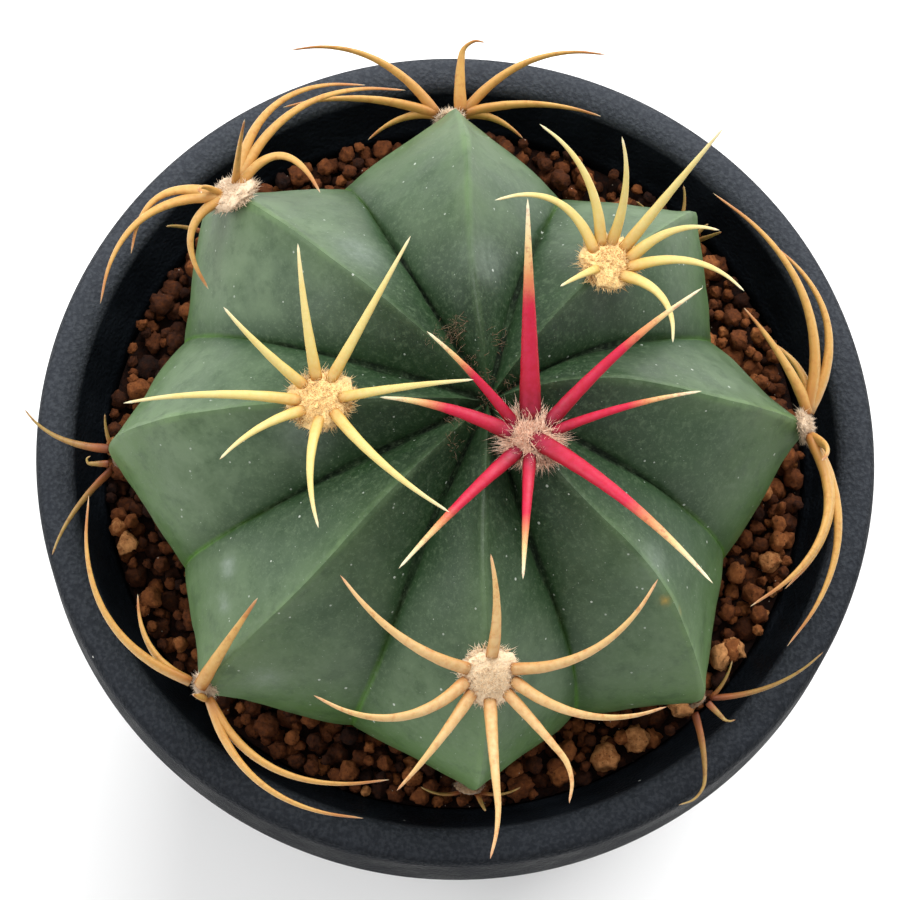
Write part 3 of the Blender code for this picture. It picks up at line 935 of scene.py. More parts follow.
@dataclass
class PlantBody:
    """The globe itself: ribs with crisp crests, softly domed flanks and sharp creases.

    Sizes are millimetres. The bloom is given for the right and left of each rib's crest, and it also
    paints light and shade onto each flank by how light falls on it. A smudge or scar is (rib, side, arc,
    width, strength).
    """

    form: PlantForm
    rows: int = 230
    flatness: float = 0.95
    flat_reach: float = 18.0
    full_width: float = 9.0
    dome: float = 0.22
    ridge: float = 0.22
    ridge_width: float = 1.1
    groove: float = 0.42
    groove_width: float = 0.30
    groove_fade: float = 0.72
    groove_reach: float = 5.0
    knob: float = 0.7
    knob_width: float = 4.5
    lumps: float = 0.35
    lump_size: float = 9.0
    dimple_size: float = 3.5
    top: float = 16.8
    bottom: float = -45.0
    arc_span: float = 62.0
    # each rib's bloom on its right and left flank: partly real bloom, partly painted light and shade by how
    # light falls on that flank
    bloom_and_flank_light: tuple[tuple[float, float], ...] = (
        (0.32, 1.90), (0.34, 1.30), (1.50, 1.34), (1.90, 1.50),
        (1.15, 1.95), (0.92, 1.10), (0.90, 1.00), (1.10, 0.05),
    )
    sides: tuple[float, ...] = (
        0, 0.015, 0.035, 0.06, 0.10, 0.16, 0.23, 0.31, 0.39, 0.47,
        0.55, 0.63, 0.71, 0.78, 0.84, 0.89, 0.925, 0.955, 0.98,
    )
    smudges: tuple[tuple[float, ...], ...] = (
        (5, 0.30, 46.0, 2.0, 0.30), (5, -0.68, 38.5, 1.1, 0.60), (5, -0.42, 42.0, 0.9, 0.55),
        (4, 0.35, 22.0, 3.0, 0.25), (3, -0.42, 24.0, 3.2, 0.30), (7, 0.10, 30.0, 2.4, 0.25),
        (2, -0.30, 18.0, 3.2, 0.22),
    )
    scars: tuple[tuple[float, ...], ...] = ((7, -0.04, 34.5, 0.50, 0.95), (7, 0.02, 37.0, 0.32, 0.6))

    def across(self) -> np.ndarray:
        """Returns the sides of one rib's columns, from its right valley to its left."""
        right = [-s for s in reversed(self.sides[1:])]
        return np.array([-1.0, *right, *self.sides])

    def spots(self, points: np.ndarray, places: tuple[tuple[float, ...], ...]) -> np.ndarray:
        """Works out soft round marks on the skin.

        Args:
            points: the skin's points.
            places: each mark's rib, side, arc, width and strength.

        Returns:
            How strong the marks are at each point, 0 to 1.
        """
        marks = np.zeros(len(points))
        for rib, side, arc, width, strength in places:
            share = np.interp(arc, self.form.arcs, np.arange(self.form.samples)) / (self.form.samples - 1)
            middle = self.form.skin(np.array([int(rib)]), np.array([side]), np.array([share]))[0]
            marks = np.maximum(marks, strength * bell(np.linalg.norm(points - middle, axis=-1), width))
        return marks

    def flattened(
        self, plain: np.ndarray, rib: np.ndarray, side: np.ndarray, share: np.ndarray
    ) -> np.ndarray:
        """Draws the flanks in towards straight lines from crest to crease, away from the crown.

        Args:
            plain: the skin's points.
            rib: the number of the rib at each.
            side: where each lies across its rib.
            share: where each lies down its rib.

        Returns:
            The points on flatter flanks.
        """
        depth = np.abs(side)[..., None]
        crest = self.form.skin(rib, np.zeros_like(side), share)
        crease = self.form.skin(rib, np.sign(side), share)
        straight = crest * (1 - depth) + crease * depth
        away = np.hypot(plain[..., 0], plain[..., 1])[..., None]
        return plain + (straight - plain) * self.flatness * ease(away / self.flat_reach)

    def bloom(self, rib: np.ndarray, side: np.ndarray) -> np.ndarray:
        """Works out how thick the bloom is: right and left of each crest differ, partly as painted light and
        shade on each flank.

        Args:
            rib: the number of the rib at each point.
            side: where each point lies across its rib.

        Returns:
            The thickness at each point, and at the two end points.
        """
        pairs = np.array(self.bloom_and_flank_light)[rib]
        left = ease(0.5 + side / 0.5)
        return np.append((pairs[..., 0] * (1 - left) + pairs[..., 1] * left).ravel(), [1.0, 1.0])

    def relief(self, points: np.ndarray, flank: np.ndarray, width: np.ndarray) -> np.ndarray:
        """Works out how far the skin stands off its plain shape.

        Args:
            points: the plain skin, in the upright plant's millimetres.
            flank: 0 on a crest to 1 in a valley.
            width: half a rib's width there, in millimetres.

        Returns:
            The height at each point, in millimetres.
        """
        room = ease(width / self.full_width)
        height = self.dome * room * np.sin(math.pi * flank**1.7)
        height += self.ridge * room * bell(flank * width, self.ridge_width)
        fade = 1 - self.groove_fade * ease((width - self.full_width) / self.groove_reach)
        cleft = (0.35 + 0.65 * room) * fade
        height -= self.groove * cleft * np.exp(-(1 - flank) * width / self.groove_width)
        place = self.form.world(points.copy())
        for areole in AREOLES:
            middle, _ = self.form.crest_place(areole.rib, areole.arc)
            height += self.knob * bell(np.linalg.norm(place - middle, axis=-1), self.knob_width)
        wobble = [
            noise.noise(Vector(p) / self.lump_size) + 0.4 * noise.noise(Vector(p) / self.dimple_size)
            for p in points
        ]
        return height + self.lumps * np.array(wobble) * np.minimum(1.0, width / 6.0)

    def build(self) -> bpy.types.Object:
        """Builds the skin as one closed mesh and dresses it.

        Returns:
            The dressed piece.
        """
        sides = self.across()
        ribs = len(self.form.bearings)
        columns = ribs * len(sides)
        shares = np.linspace(0, 1, self.rows + 2)[1:-1]
        rib = np.broadcast_to(np.repeat(np.arange(ribs), len(sides)), (self.rows, columns))
        side = np.broadcast_to(np.tile(sides, ribs), (self.rows, columns))
        share = np.broadcast_to(shares[:, None], (self.rows, columns))
        plain = self.flattened(self.form.skin(rib, side, share), rib, side, share)
        down = np.gradient(plain, axis=0)
        round_ = np.roll(plain, -1, axis=1) - np.roll(plain, 1, axis=1)
        normal = unit(np.cross(down, round_))
        radius = np.hypot(plain[..., 0], plain[..., 1])
        width = np.maximum(radius * math.pi / ribs, 0.05)
        flank = np.abs(side)
        height = self.relief(plain.reshape(-1, 3), flank.ravel(), width.ravel()).reshape(flank.shape)
        height *= ease((share - 0.002) / 0.05) * ease((0.9 - share) / 0.2)
        skin = plain + normal * height[..., None]
        ends = np.array([[self.form.crown_shift, 0, self.top], [0, 0, self.bottom]])
        points = np.vstack([skin.reshape(-1, 3), ends])
        arcs = np.interp(share * (self.form.samples - 1), np.arange(self.form.samples), self.form.arcs)
        arc = np.append(np.clip(arcs / self.arc_span, 0, 1).ravel(), [0, 1])
        across = np.append(flank.ravel(), [0.5, 0.5])
        wide = np.append(width.ravel(), [0.05, 0.05])
        sheaf = Sheaf()
        # the bloom attribute carries real bloom and painted light and shade per flank
        sheaf.add(
            self.form.world(points) * MM, capped_faces(self.rows, columns), arc=arc,
            to_crest=across * wide, to_crease=(1 - across) * wide, bloom=self.bloom(rib, side),
            smudge=self.spots(points, self.smudges), scar=self.spots(points, self.scars))
        body = sheaf.piece("cactus_skin")
        body.data.set_sharp_from_angle(angle=math.radians(42))
        return dress(body, WaxySkin().material(), "plant_skin", "cactus_body")


# ---- spines and wool -----------------------------------------------------------------------

HORNS = {
    Age.NEW: Horn("crimson_horn", (
        (0.0, (0.07, 0.001, 0.004)), (0.08, (0.20, 0.001, 0.008)), (0.20, (0.36, 0.002, 0.016)),
        (0.52, (0.44, 0.003, 0.026)), (0.57, (0.46, 0.066, 0.044)), (0.65, (0.52, 0.20, 0.075)),
        (0.78, (0.58, 0.42, 0.18)), (0.97, (0.64, 0.59, 0.40))), (0.30, 0.001, 0.012), 0.45,
        (0.54, 0.036, 0.120), 0.26),
    Age.YOUNG: Horn("cream_horn", (
        (0.0, (0.46, 0.20, 0.040)), (0.10, (0.54, 0.34, 0.080)), (0.25, (0.57, 0.44, 0.13)),
        (0.70, (0.56, 0.46, 0.17)), (0.92, (0.58, 0.51, 0.27)), (1.0, (0.60, 0.55, 0.38))),
        (0.52, 0.35, 0.09), 0.35, (0.64, 0.56, 0.28), 0.30),
    Age.GROWN: Horn("tan_horn", (
        (0.0, (0.40, 0.17, 0.05)), (0.10, (0.48, 0.26, 0.085)), (0.35, (0.54, 0.32, 0.12)),
        (0.75, (0.55, 0.36, 0.145)), (0.93, (0.56, 0.34, 0.16)), (1.0, (0.48, 0.27, 0.15))),
        (0.42, 0.17, 0.05), 0.70, (0.66, 0.50, 0.26), 0.50),
    Age.AGED: Horn("amber_horn", (
        (0.0, (0.30, 0.115, 0.028)), (0.10, (0.42, 0.20, 0.045)), (0.35, (0.50, 0.275, 0.070)),
        (0.75, (0.50, 0.285, 0.080)), (0.90, (0.38, 0.155, 0.048)), (0.97, (0.42, 0.22, 0.095)),
        (1.0, (0.56, 0.44, 0.29))), (0.35, 0.14, 0.032), 0.55, (0.58, 0.40, 0.16), 0.45),
    Age.OLD: Horn("olive_horn", (
        (0.0, (0.10, 0.020, 0.007)), (0.15, (0.24, 0.075, 0.022)), (0.38, (0.27, 0.15, 0.042)),
        (0.85, (0.30, 0.20, 0.060)), (1.0, (0.34, 0.22, 0.10))), (0.14, 0.045, 0.016), 0.5,
        (0.36, 0.27, 0.12), 0.20),
}

WOOLS = {
    Age.NEW: Wool(
        "peach_wool", (0.84, 0.45, 0.29), (0.93, 0.64, 0.47), (0.46, 0.16, 0.08), 1.65, 2600),
    Age.YOUNG: Wool(
        "golden_wool", (0.78, 0.43, 0.13), (0.90, 0.65, 0.30), (0.50, 0.22, 0.06), 0.85, 2200),
    Age.GROWN: Wool(
        "cream_wool", (0.84, 0.56, 0.30), (0.93, 0.75, 0.52), (0.36, 0.15, 0.05), 0.80, 2200),
    Age.AGED: Wool(
        "white_wool", (0.62, 0.41, 0.24), (0.80, 0.63, 0.45), (0.30, 0.14, 0.06), 0.70, 2200),
    Age.OLD: Wool(
        "brown_wool", (0.18, 0.085, 0.04), (0.34, 0.22, 0.12), (0.12, 0.05, 0.02), 0.40, 260),
}

HORN_MATERIALS = {age: horn.material() for age, horn in HORNS.items()}
WOOL_MATERIALS = {age: wool.material() for age, wool in WOOLS.items()}


@dataclass
class Fibres:
    """Wool fibres, gathered into one mesh, with the draws that bend them."""

    draw: np.random.Generator
    sheaf: Sheaf = field(default_factory=Sheaf)
    bend: float = 0.35
    taper: float = 0.45
    sides: int = 3

    def add(self, foot: np.ndarray, way: np.ndarray, length: float, thick: float, stain: float = 0.0) -> None:
        """Adds one fibre.

        Args:
            foot: where it starts, in millimetres.
            way: the direction that it starts in.
            length: its length, in millimetres.
            thick: its radius at the foot, in millimetres.
            stain: how brown it is, from 0 to 1.
        """
        bend = self.draw.normal(size=3) * self.bend
        t = np.array([0.0, 0.5, 1.0])
        line = foot + np.outer(t * length, way) + np.outer(t**2 * length, bend)
        wide = unit(np.cross(way, [0.3, 0.5, 0.8]))
        high = np.cross(wide, way)
        angle = np.linspace(0, math.tau, self.sides, endpoint=False)
        ring = np.cos(angle)[:, None] * wide + np.sin(angle)[:, None] * high
        points = [line[k] + ring * thick * (1 - self.taper * t[k]) for k in (0, 1)]
        points = np.vstack([*points, line[2:]])
        base = np.arange(self.sides)
        faces = [grid_faces(2, self.sides), fan_faces(base + self.sides, 2 * self.sides)]
        along = np.append(np.repeat(t[:2], self.sides), t[2])
        self.sheaf.add(points * MM, faces, along=along, stain=stain)


@dataclass
class SpineCluster:
    """An areole's spines and its wool pad, in millimetres and shares of a spine's own size."""

    form: PlantForm
    areole: Areole
    segments: int = 6
    rings: int = 30
    sides: int = 14
    bow: float = 0.10
    hook_share: float = 0.65
    tip: float = 0.13
    taper: float = 1.05
    waist: float = 0.10
    swell: float = 0.018
    swell_pitch: float = 2.3
    flatness: float = 0.68
    short: float = 9.0
    short_stout: float = 0.75
    pad_lift: float = 1.2
    touch_gap: float = 0.3
    new_start: float = 0.2
    ring_step: float = 0.55
    stained: float = 0.05

    def __post_init__(self) -> None:
        """Finds the pad's place and axes."""
        point, self.normal = self.form.crest_place(self.areole.rib, self.areole.arc)
        self.foot = point
        self.centre = point + self.normal * (self.pad_lift + self.touch_gap)
        upright = np.array([0.0, 0.0, 1.0])
        if self.areole.arc < 30:
            upright = np.array([point[0], point[1], 0.0])
        self.along = unit(upright - self.normal * (upright @ self.normal))
        self.across = np.cross(self.normal, self.along)
        self.draw = np.random.default_rng(40 + self.areole.number)

    def centre_line(self, spine: tuple[float, ...]) -> np.ndarray:
        """Draws a spine's centre line, from inside the pad to its tip.

        Args:
            spine: the spine's bearing, reach, rise, turn and hook.

        Returns:
            The line's points, in millimetres.
        """
        bearing, reach, rise, turn = spine[:4]
        hook = math.radians(spine[4]) if len(spine) > 4 else 0.0
        out = np.array([math.cos(math.radians(bearing)), math.sin(math.radians(bearing)), 0.0])
        left = np.array([-out[1], out[0], 0.0])
        tip = self.centre + out * reach + np.array([0, 0, rise])
        start = min(self.areole.start, reach / 2)
        if spine[1] == max(other[1] for other in self.areole.spines) and self.areole.age is Age.NEW:
            start = self.new_start
        root = self.centre + unit(out - self.normal * (out @ self.normal)) * start
        middle = (root + tip) / 2 + self.normal * (self.bow * reach)
        middle = middle - left * (0.5 * reach * math.tan(math.radians(turn / 2)))
        t = np.linspace(0, 1, self.segments + 1)[:, None]
        plain = root * (1 - t) ** 2 + middle * (2 * t * (1 - t)) + tip * t**2
        bent = [plain[0]]
        for k, step in enumerate(np.diff(plain, axis=0)):
            angle = hook * max(0.0, (k + 1) / self.segments - self.hook_share) / (1 - self.hook_share)
            c, s = math.cos(angle), math.sin(angle)
            bent.append(bent[-1] + np.array([c * step[0] - s * step[1], s * step[0] + c * step[1], step[2]]))
        return smooth_line([tuple(p) for p in bent], self.rings)

    def add_spine(self, sheaf: Sheaf, spine: tuple[float, ...]) -> None:
        """Adds one spine: a flattened horn that tapers to a point.

        Args:
            sheaf: the spines that it joins.
            spine: the spine's bearing, reach, rise, turn and hook.
        """
        line = self.centre_line(spine)
        tangent = unit(np.gradient(line, axis=0))
        wide = unit(np.cross(tangent, self.normal + 0.25 * unit(line[-1] - line[0])))
        high = np.cross(wide, tangent)
        travelled = np.concatenate([[0], np.cumsum(np.linalg.norm(np.diff(line, axis=0), axis=1))])
        s = travelled / travelled[-1]
        stout = dict(zip(self.areole.spines, self.areole.widths)).get(spine, 1.0)
        size = self.areole.radius * stout * float(self.draw.uniform(0.96, 1.06))
        if spine[1] < self.short:
            size *= self.short_stout
        radius = self.tip + (size - self.tip) * (1 - s**self.taper) * (1 - self.waist * bell(s, 0.05))
        radius *= 1 + self.swell * np.sin(travelled * self.swell_pitch + self.draw.uniform(0, 6))
        radius[-1] = self.tip * 0.25
        angle = np.linspace(0, math.tau, self.sides, endpoint=False)
        flat, thick = np.cos(angle)[None, :, None], self.flatness * np.sin(angle)[None, :, None]
        ring = flat * wide[:, None] + thick * high[:, None]
        points = (line[:, None] + ring * radius[:, None, None]).reshape(-1, 3)
        last = len(points)
        points = np.vstack([points, line[0], line[-1] + tangent[-1] * self.tip])
        base = np.arange(self.sides)
        faces = [
            grid_faces(self.rings, self.sides),
            fan_faces(base[::-1], last),
            fan_faces(base + (self.rings - 1) * self.sides, last + 1),
        ]
        along = np.append(np.repeat(s, self.sides), [0.0, 1.0])
        # crown marks each spine's upper side, where the paler film and painted sheen lie
        crown = np.append(np.tile(np.clip(np.sin(angle), 0, 1), self.rings), [0.0, 0.5])
        rings = np.append(np.repeat(travelled * math.tau / self.ring_step, self.sides), [0.0, 0.0])
        sheaf.add(points * MM, faces, along=along, crown=crown, rings=rings)

    def add_cushion(self, sheaf: Sheaf, rows: int = 14, columns: int = 28) -> None:
        """Adds the pad's matted middle: a low lumpy cushion.

        Args:
            sheaf: the wool that it joins.
            rows: how many rings of points it has.
            columns: how many points a ring holds.
        """
        half_length, half_width, half_height = (size * self.areole.fullness for size in self.areole.pad)
        polar = np.linspace(0, math.pi, rows + 2)[1:-1]
        turn = np.linspace(0, math.tau, columns, endpoint=False)
        up, round_ = np.meshgrid(polar, turn, indexing="ij")
        lump = 1 + 0.08 * np.sin(3 * round_ + self.draw.uniform(0, 6)) * np.sin(up) ** 2
        lump += 0.07 * self.draw.normal(size=up.shape) * np.sin(up)
        local = np.stack([np.sin(up) * np.cos(round_) * half_length * lump,
                          np.sin(up) * np.sin(round_) * half_width * lump,
                          np.cos(up) * half_height * lump], -1).reshape(-1, 3)
        local = np.vstack([local, [[0, 0, half_height], [0, 0, -half_height]]])
        axes = np.stack([self.along, self.across, self.normal])
        points = self.foot + self.normal * (half_height * 0.45 + 0.5) + local @ axes
        low = np.clip(-local[:, 2] / half_height + 0.1, 0, 1)
        sheaf.add(points * MM, capped_faces(rows, columns), along=0.6, stain=low * 0.5)

    def add_wool(self, fibres: Fibres, wool: Wool) -> None:
        """Adds the pad's fibres, standing over its top and spread round its edge.

        Args:
            fibres: the fibres that they join.
            wool: the pad's kind of wool.
        """
        half_length, half_width, half_height = (size * self.areole.fullness for size in self.areole.pad)
        axes = np.stack([self.along, self.across, self.normal])
        for _ in range(wool.fibres):
            turn = self.draw.uniform(0, math.tau)
            out = math.sqrt(self.draw.uniform(0.0, 1.0))
            local = np.array([math.cos(turn) * half_length * out, math.sin(turn) * half_width * out, 0.0])
            local[2] = half_height * (0.40 + math.sqrt(max(0.0, 1 - out**2))) + 0.38 * (1 - out**2)
            lean = np.array([math.cos(turn) * out * 1.3, math.sin(turn) * out * 1.3, 1.15 - 0.95 * out])
            way = unit(lean + self.draw.normal(size=3) * 0.42)
            length = wool.length * self.draw.uniform(0.55, 1.15) * (0.65 + 0.5 * out)
            stain = 0.8 if self.draw.uniform() < self.stained * out else 0.0
            foot = self.foot + local @ axes
            fibres.add(foot, way @ axes, length, self.draw.uniform(0.04, 0.07), stain)

    def build(self) -> None:
        """Builds and dresses the spines and the wool, each as one piece."""
        age = self.areole.age
        spines = Sheaf()
        for spine in self.areole.spines:
            self.add_spine(spines, spine)
        fibres = Fibres(self.draw)
        self.add_cushion(fibres.sheaf)
        self.add_wool(fibres, WOOLS[age])
        slot = "young_spines" if age is Age.NEW else "spines"
        tag = f"{self.areole.number:02d}"
        dress(spines.piece(f"spines_{tag}"), HORN_MATERIALS[age], slot, self.areole.node)
        dress(fibres.sheaf.piece(f"wool_pad_{tag}"), WOOL_MATERIALS[age], slot, self.areole.node)


@dataclass
class CrownWool:
    """Wisps of wool and crumbs caught in the creases of the crown.

    Each tuft is (x, y, spread, fibres, fibre length) in millimetres from the crown's middle.
    Above is a height in metres that is clear of the plant.
    """

    form: PlantForm
    body: bpy.types.Object
    seed: int = 77
    above: float = 0.2
    tufts: tuple[tuple[float, ...], ...] = (
        (-3.8, 8.2, 1.6, 90, 1.4), (-2.0, 4.6, 1.2, 40, 1.3), (-0.6, 2.6, 0.9, 30, 1.1),
        (0.2, 0.2, 1.3, 120, 0.8), (-3.3, -2.6, 1.4, 80, 0.9), (-4.2, -6.0, 1.0, 26, 0.9),
        (2.6, 2.2, 0.9, 26, 0.9), (-6.4, 6.4, 1.4, 24, 1.0), (1.0, 7.4, 1.2, 20, 1.2),
    )

    def build(self) -> bpy.types.Object:
        """Builds and dresses the tufts as one piece.

        Returns:
            The dressed piece.
        """
        draw = np.random.default_rng(self.seed)
        fibres = Fibres(draw)
        tree = BVHTree.FromObject(self.body, bpy.context.evaluated_depsgraph_get())
        crown = self.form.world(np.array([[self.form.crown_shift, 0.0, 17.0]]))[0]
        for x, y, spread, count, length in self.tufts:
            for _ in range(int(count)):
                off = draw.normal(size=2) * spread * 0.5
                start = Vector(((crown[0] + x + off[0]) * MM, (crown[1] + y + off[1]) * MM, self.above))
                hit, normal, _, _ = tree.ray_cast(start, Vector((0, 0, -1)))
                if hit is None:
                    continue
                way = unit(np.array(normal) * 0.7 + draw.normal(size=3) * 0.6)
                thick = draw.uniform(0.018, 0.034)
                fibres.add(np.array(hit) / MM, way, length * draw.uniform(0.4, 1.2), thick)
        return dress(fibres.sheaf.piece("crown_wool"), WOOL_MATERIALS[Age.OLD], "spines")


# ---- the pot -------------------------------------------------------------------------------


@dataclass
class NurseryPot:
    """A tapered plastic pot whose rim folds over into a collar, all sizes in millimetres."""

    lip_width: float = 4.5
    lip_round: float = 2.0
    throat_step: float = 3.7
    throat_drop: float = 6.5
    wall: float = 1.8
    floor: float = 2.6
    collar_wall: float = 1.6
    collar_drop: float = 12.0
    base_radius: float = 36.0
    base_round: float = 2.0
    drain_holes: int = 6
    drain_ring: float = 24.0
    drain_radius: float = 4.0
    steps: int = 224
    # the rounded lip, as steps out from its inner edge and down from the pot's top
    lip: tuple[tuple[float, float], ...] = (
        (0.0, 1.0), (0.25, 0.62), (0.8, 0.30), (1.5, 0.08), (2.25, 0.0),
        (3.0, 0.10), (3.6, 0.40), (4.05, 0.85), (4.35, 1.40), (4.5, 2.0),
    )
    # painted shade: how much of the lip's lighter colour is taken off the pot's front half
    shaded: float = 0.62
    sharp: float = 50.0

    def __post_init__(self) -> None:
        """Takes the rim's radius and the height from the frame."""
        low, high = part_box("pot")
        self.rim = (high[0] - low[0]) / 2 / MM
        self.height = high[2] / MM

    def cavity(self, height: float) -> float:
        """Works out the cup's inner radius.

        Args:
            height: a height below the throat.

        Returns:
            The radius there.
        """
        inner_base = self.base_radius - self.wall
        throat = self.rim - self.lip_width - self.throat_step
        top = self.height - self.lip_round / 2 - self.throat_drop
        return inner_base + (throat - inner_base) * (height - self.floor) / (top - self.floor)

    def outline(self) -> list[tuple[float, float, float]]:
        """Returns the profile, from the inside of the floor round to its underside.

        Returns:
            Radius, height, and how much the edge there is scuffed and, on the lip, painted light, 0 to 1.
        """
        band = self.rim - self.lip_width
        top, throat_z = self.height, self.height - self.lip_round / 2 - self.throat_drop
        foot = top - self.collar_drop
        points = [(0.0, self.floor, 0.0)]
        points += [(r, self.floor, 0.0) for r in (8.0, 16.0, 24.0, self.cavity(self.floor) - 1.2)]
        points += [(self.cavity(z), z, 0.0) for z in np.linspace(self.floor + 1.2, throat_z - 0.6, 12)]
        points += [(self.cavity(throat_z) + 0.25, throat_z + 0.5, 0.0)]
        for k in range(1, 8):
            f = k / 8
            step = 0.2 + (self.throat_step - 0.2) * f
            points.append((self.cavity(throat_z) + step, throat_z + self.throat_drop * f, 0.0))
        points += [(band + out, top - down, 0.9 if out < 3.9 else 0.5) for out, down in self.lip]
        points += [(self.rim, z, 0.0) for z in np.linspace(top - 2.6, foot + 0.5, 9)]
        points += [(self.rim - 0.15, foot + 0.15, 0.9), (self.rim - 0.5, foot, 0.5)]
        inner = self.rim - self.collar_wall
        points += [(inner + 0.3, foot, 0.4), (inner, foot + 0.3, 0.2), (inner, foot + 5.0, 0.0)]
        under = top - self.lip_round - self.collar_wall
        points += [(inner, under - 0.4, 0.0), (inner - 0.4, under, 0.0), (band + self.wall / 2, under, 0.0)]
        outer_throat = self.cavity(throat_z) + self.wall
        points += [(outer_throat + 0.3, throat_z + 1.2, 0.0), (outer_throat, throat_z, 0.0)]
        for k in range(1, 14):
            f = k / 14
            points.append((outer_throat + (self.base_radius - outer_throat) * f,
                           throat_z + (self.base_round - throat_z) * f, 0.1))
        for k in range(7):
            turn = math.pi / 2 * k / 6
            points.append((self.base_radius - self.base_round * (1 - math.cos(turn)),
                           self.base_round * (1 - math.sin(turn)), 0.5))
        points += [(r, 0.0, 0.2) for r in (30.0, 24.0, 16.0, 8.0)]
        return [*points, (0.0, 0.0, 0.0)]

    def build(self) -> bpy.types.Object:
        """Builds the pot, drills its drain holes and dresses it.

        Returns:
            The dressed piece.
        """
        outline = np.array(self.outline())
        turn = np.linspace(0, math.tau, self.steps, endpoint=False)
        rows = outline[1:-1]
        radius, height = rows[:, :1], np.broadcast_to(rows[:, 1:2], (len(rows), self.steps))
        points = np.stack([radius * np.cos(turn), radius * np.sin(turn), height], -1).reshape(-1, 3)
        points = np.vstack([points, [[0, 0, outline[0, 1]], [0, 0, 0]]])
        # Painted shade: the lip and scuff colours fade on the front half, towards -Y.
        front = 0.5 - 0.5 * np.sin(turn)
        edge = np.append((rows[:, 2:] * (1 - self.shaded * ease(front))).ravel(), [0.0, 0.0])
        sheaf = Sheaf()
        sheaf.add(points * MM, capped_faces(len(rows), self.steps), edge=edge)
        pot = sheaf.piece("nursery_pot")
        self.drill(pot)
        return dress(pot, Pebbled().material(), "pot_plastic", "pot")

    def drill(self, pot: bpy.types.Object) -> None:
        """Cuts the ring of drain holes through the floor.

        Args:
            pot: the pot, whose mesh is replaced.
        """
        drills = bmesh.new()
        for k in range(self.drain_holes):
            bearing = math.tau * k / self.drain_holes
            middle = Vector((math.cos(bearing), math.sin(bearing), 0)) * self.drain_ring * MM
            bmesh.ops.create_cone(
                drills, cap_ends=True, segments=40, radius1=self.drain_radius * MM,
                radius2=self.drain_radius * MM, depth=4 * self.floor * MM, matrix=Matrix.Translation(middle))
        mesh = bpy.data.meshes.new("drills")
        drills.to_mesh(mesh)
        drills.free()
        cutter = bpy.data.objects.new("drills", mesh)
        bpy.context.scene.collection.objects.link(cutter)
        cut = pot.modifiers.new("drain_holes", "BOOLEAN")
        cut.object = cutter
        cut.solver = "EXACT"
        graph = bpy.context.evaluated_depsgraph_get()
        drilled = bpy.data.meshes.new_from_object(pot.evaluated_get(graph))
        pot.modifiers.clear()
        pot.data = drilled
        bpy.data.objects.remove(cutter)
        drilled.set_sharp_from_angle(angle=math.radians(self.sharp))


# ---- the soil ------------------------------------------------------------------------------

CLAY_TINTS: Stops = (
    (0.0, (0.009, 0.003, 0.002)), (0.25, (0.038, 0.011, 0.004)), (0.50, (0.130, 0.038, 0.011)),
    (0.75, (0.280, 0.094, 0.027)), (1.0, (0.680, 0.320, 0.120)),
)
CLAY = FiredClay("fired_clay", CLAY_TINTS).material()


def grain_nodes() -> list[str]:
    """Returns the names of the frame's loose grains, in order."""
    return sorted(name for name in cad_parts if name.startswith("soil_grain_"))


@dataclass
class GrainShapes:
    """A few granule shapes: rounded lumps with worn flat faces."""

    kinds: int = 16
    seed: int = 12
    cuts: int = 6
    shallow: float = 0.58
    deep: float = 0.82
    # each layer of lumps: how many lie across a radius, and how high they stand
    lumps: tuple[tuple[float, float], ...] = ((1.9, 0.26), (5.0, 0.20), (9.0, 0.12))

    def __post_init__(self) -> None:
        """Makes the shapes, each about 1 across its radius."""
        draw = np.random.default_rng(self.seed)
        ball = bmesh.new()
        bmesh.ops.create_icosphere(ball, subdivisions=3, radius=1.0)
        self.faces = np.array([[v.index for v in f.verts] for f in ball.faces])
        round_ = np.array([v.co for v in ball.verts])
        ball.free()
        self.shapes = []
        for _ in range(self.kinds):
            shape = round_ * draw.uniform(0.78, 1.0, size=3)
            for _ in range(self.cuts):
                way = unit(draw.normal(size=3))
                over = np.maximum(0.0, shape @ way - draw.uniform(self.shallow, self.deep))
                shape = shape - np.outer(over * 0.85, way)
            shift = draw.uniform(0, 50, size=3)
            stand = np.ones(len(round_))
            for count, height in self.lumps:
                stand += height * np.array([noise.noise(Vector(p * count + shift)) for p in round_])
            self.shapes.append(shape * stand[:, None])

    def turned(self, draw: np.random.Generator) -> np.ndarray:
        """Picks one of the shapes and turns it at random.

        Args:
            draw: the source of the draws.

        Returns:
            The shape's points.
        """
        shape = self.shapes[int(draw.integers(self.kinds))]
        spin, _ = np.linalg.qr(draw.normal(size=(3, 3)))
        if np.linalg.det(spin) < 0:
            spin[:, 0] *= -1
        return shape @ spin.T


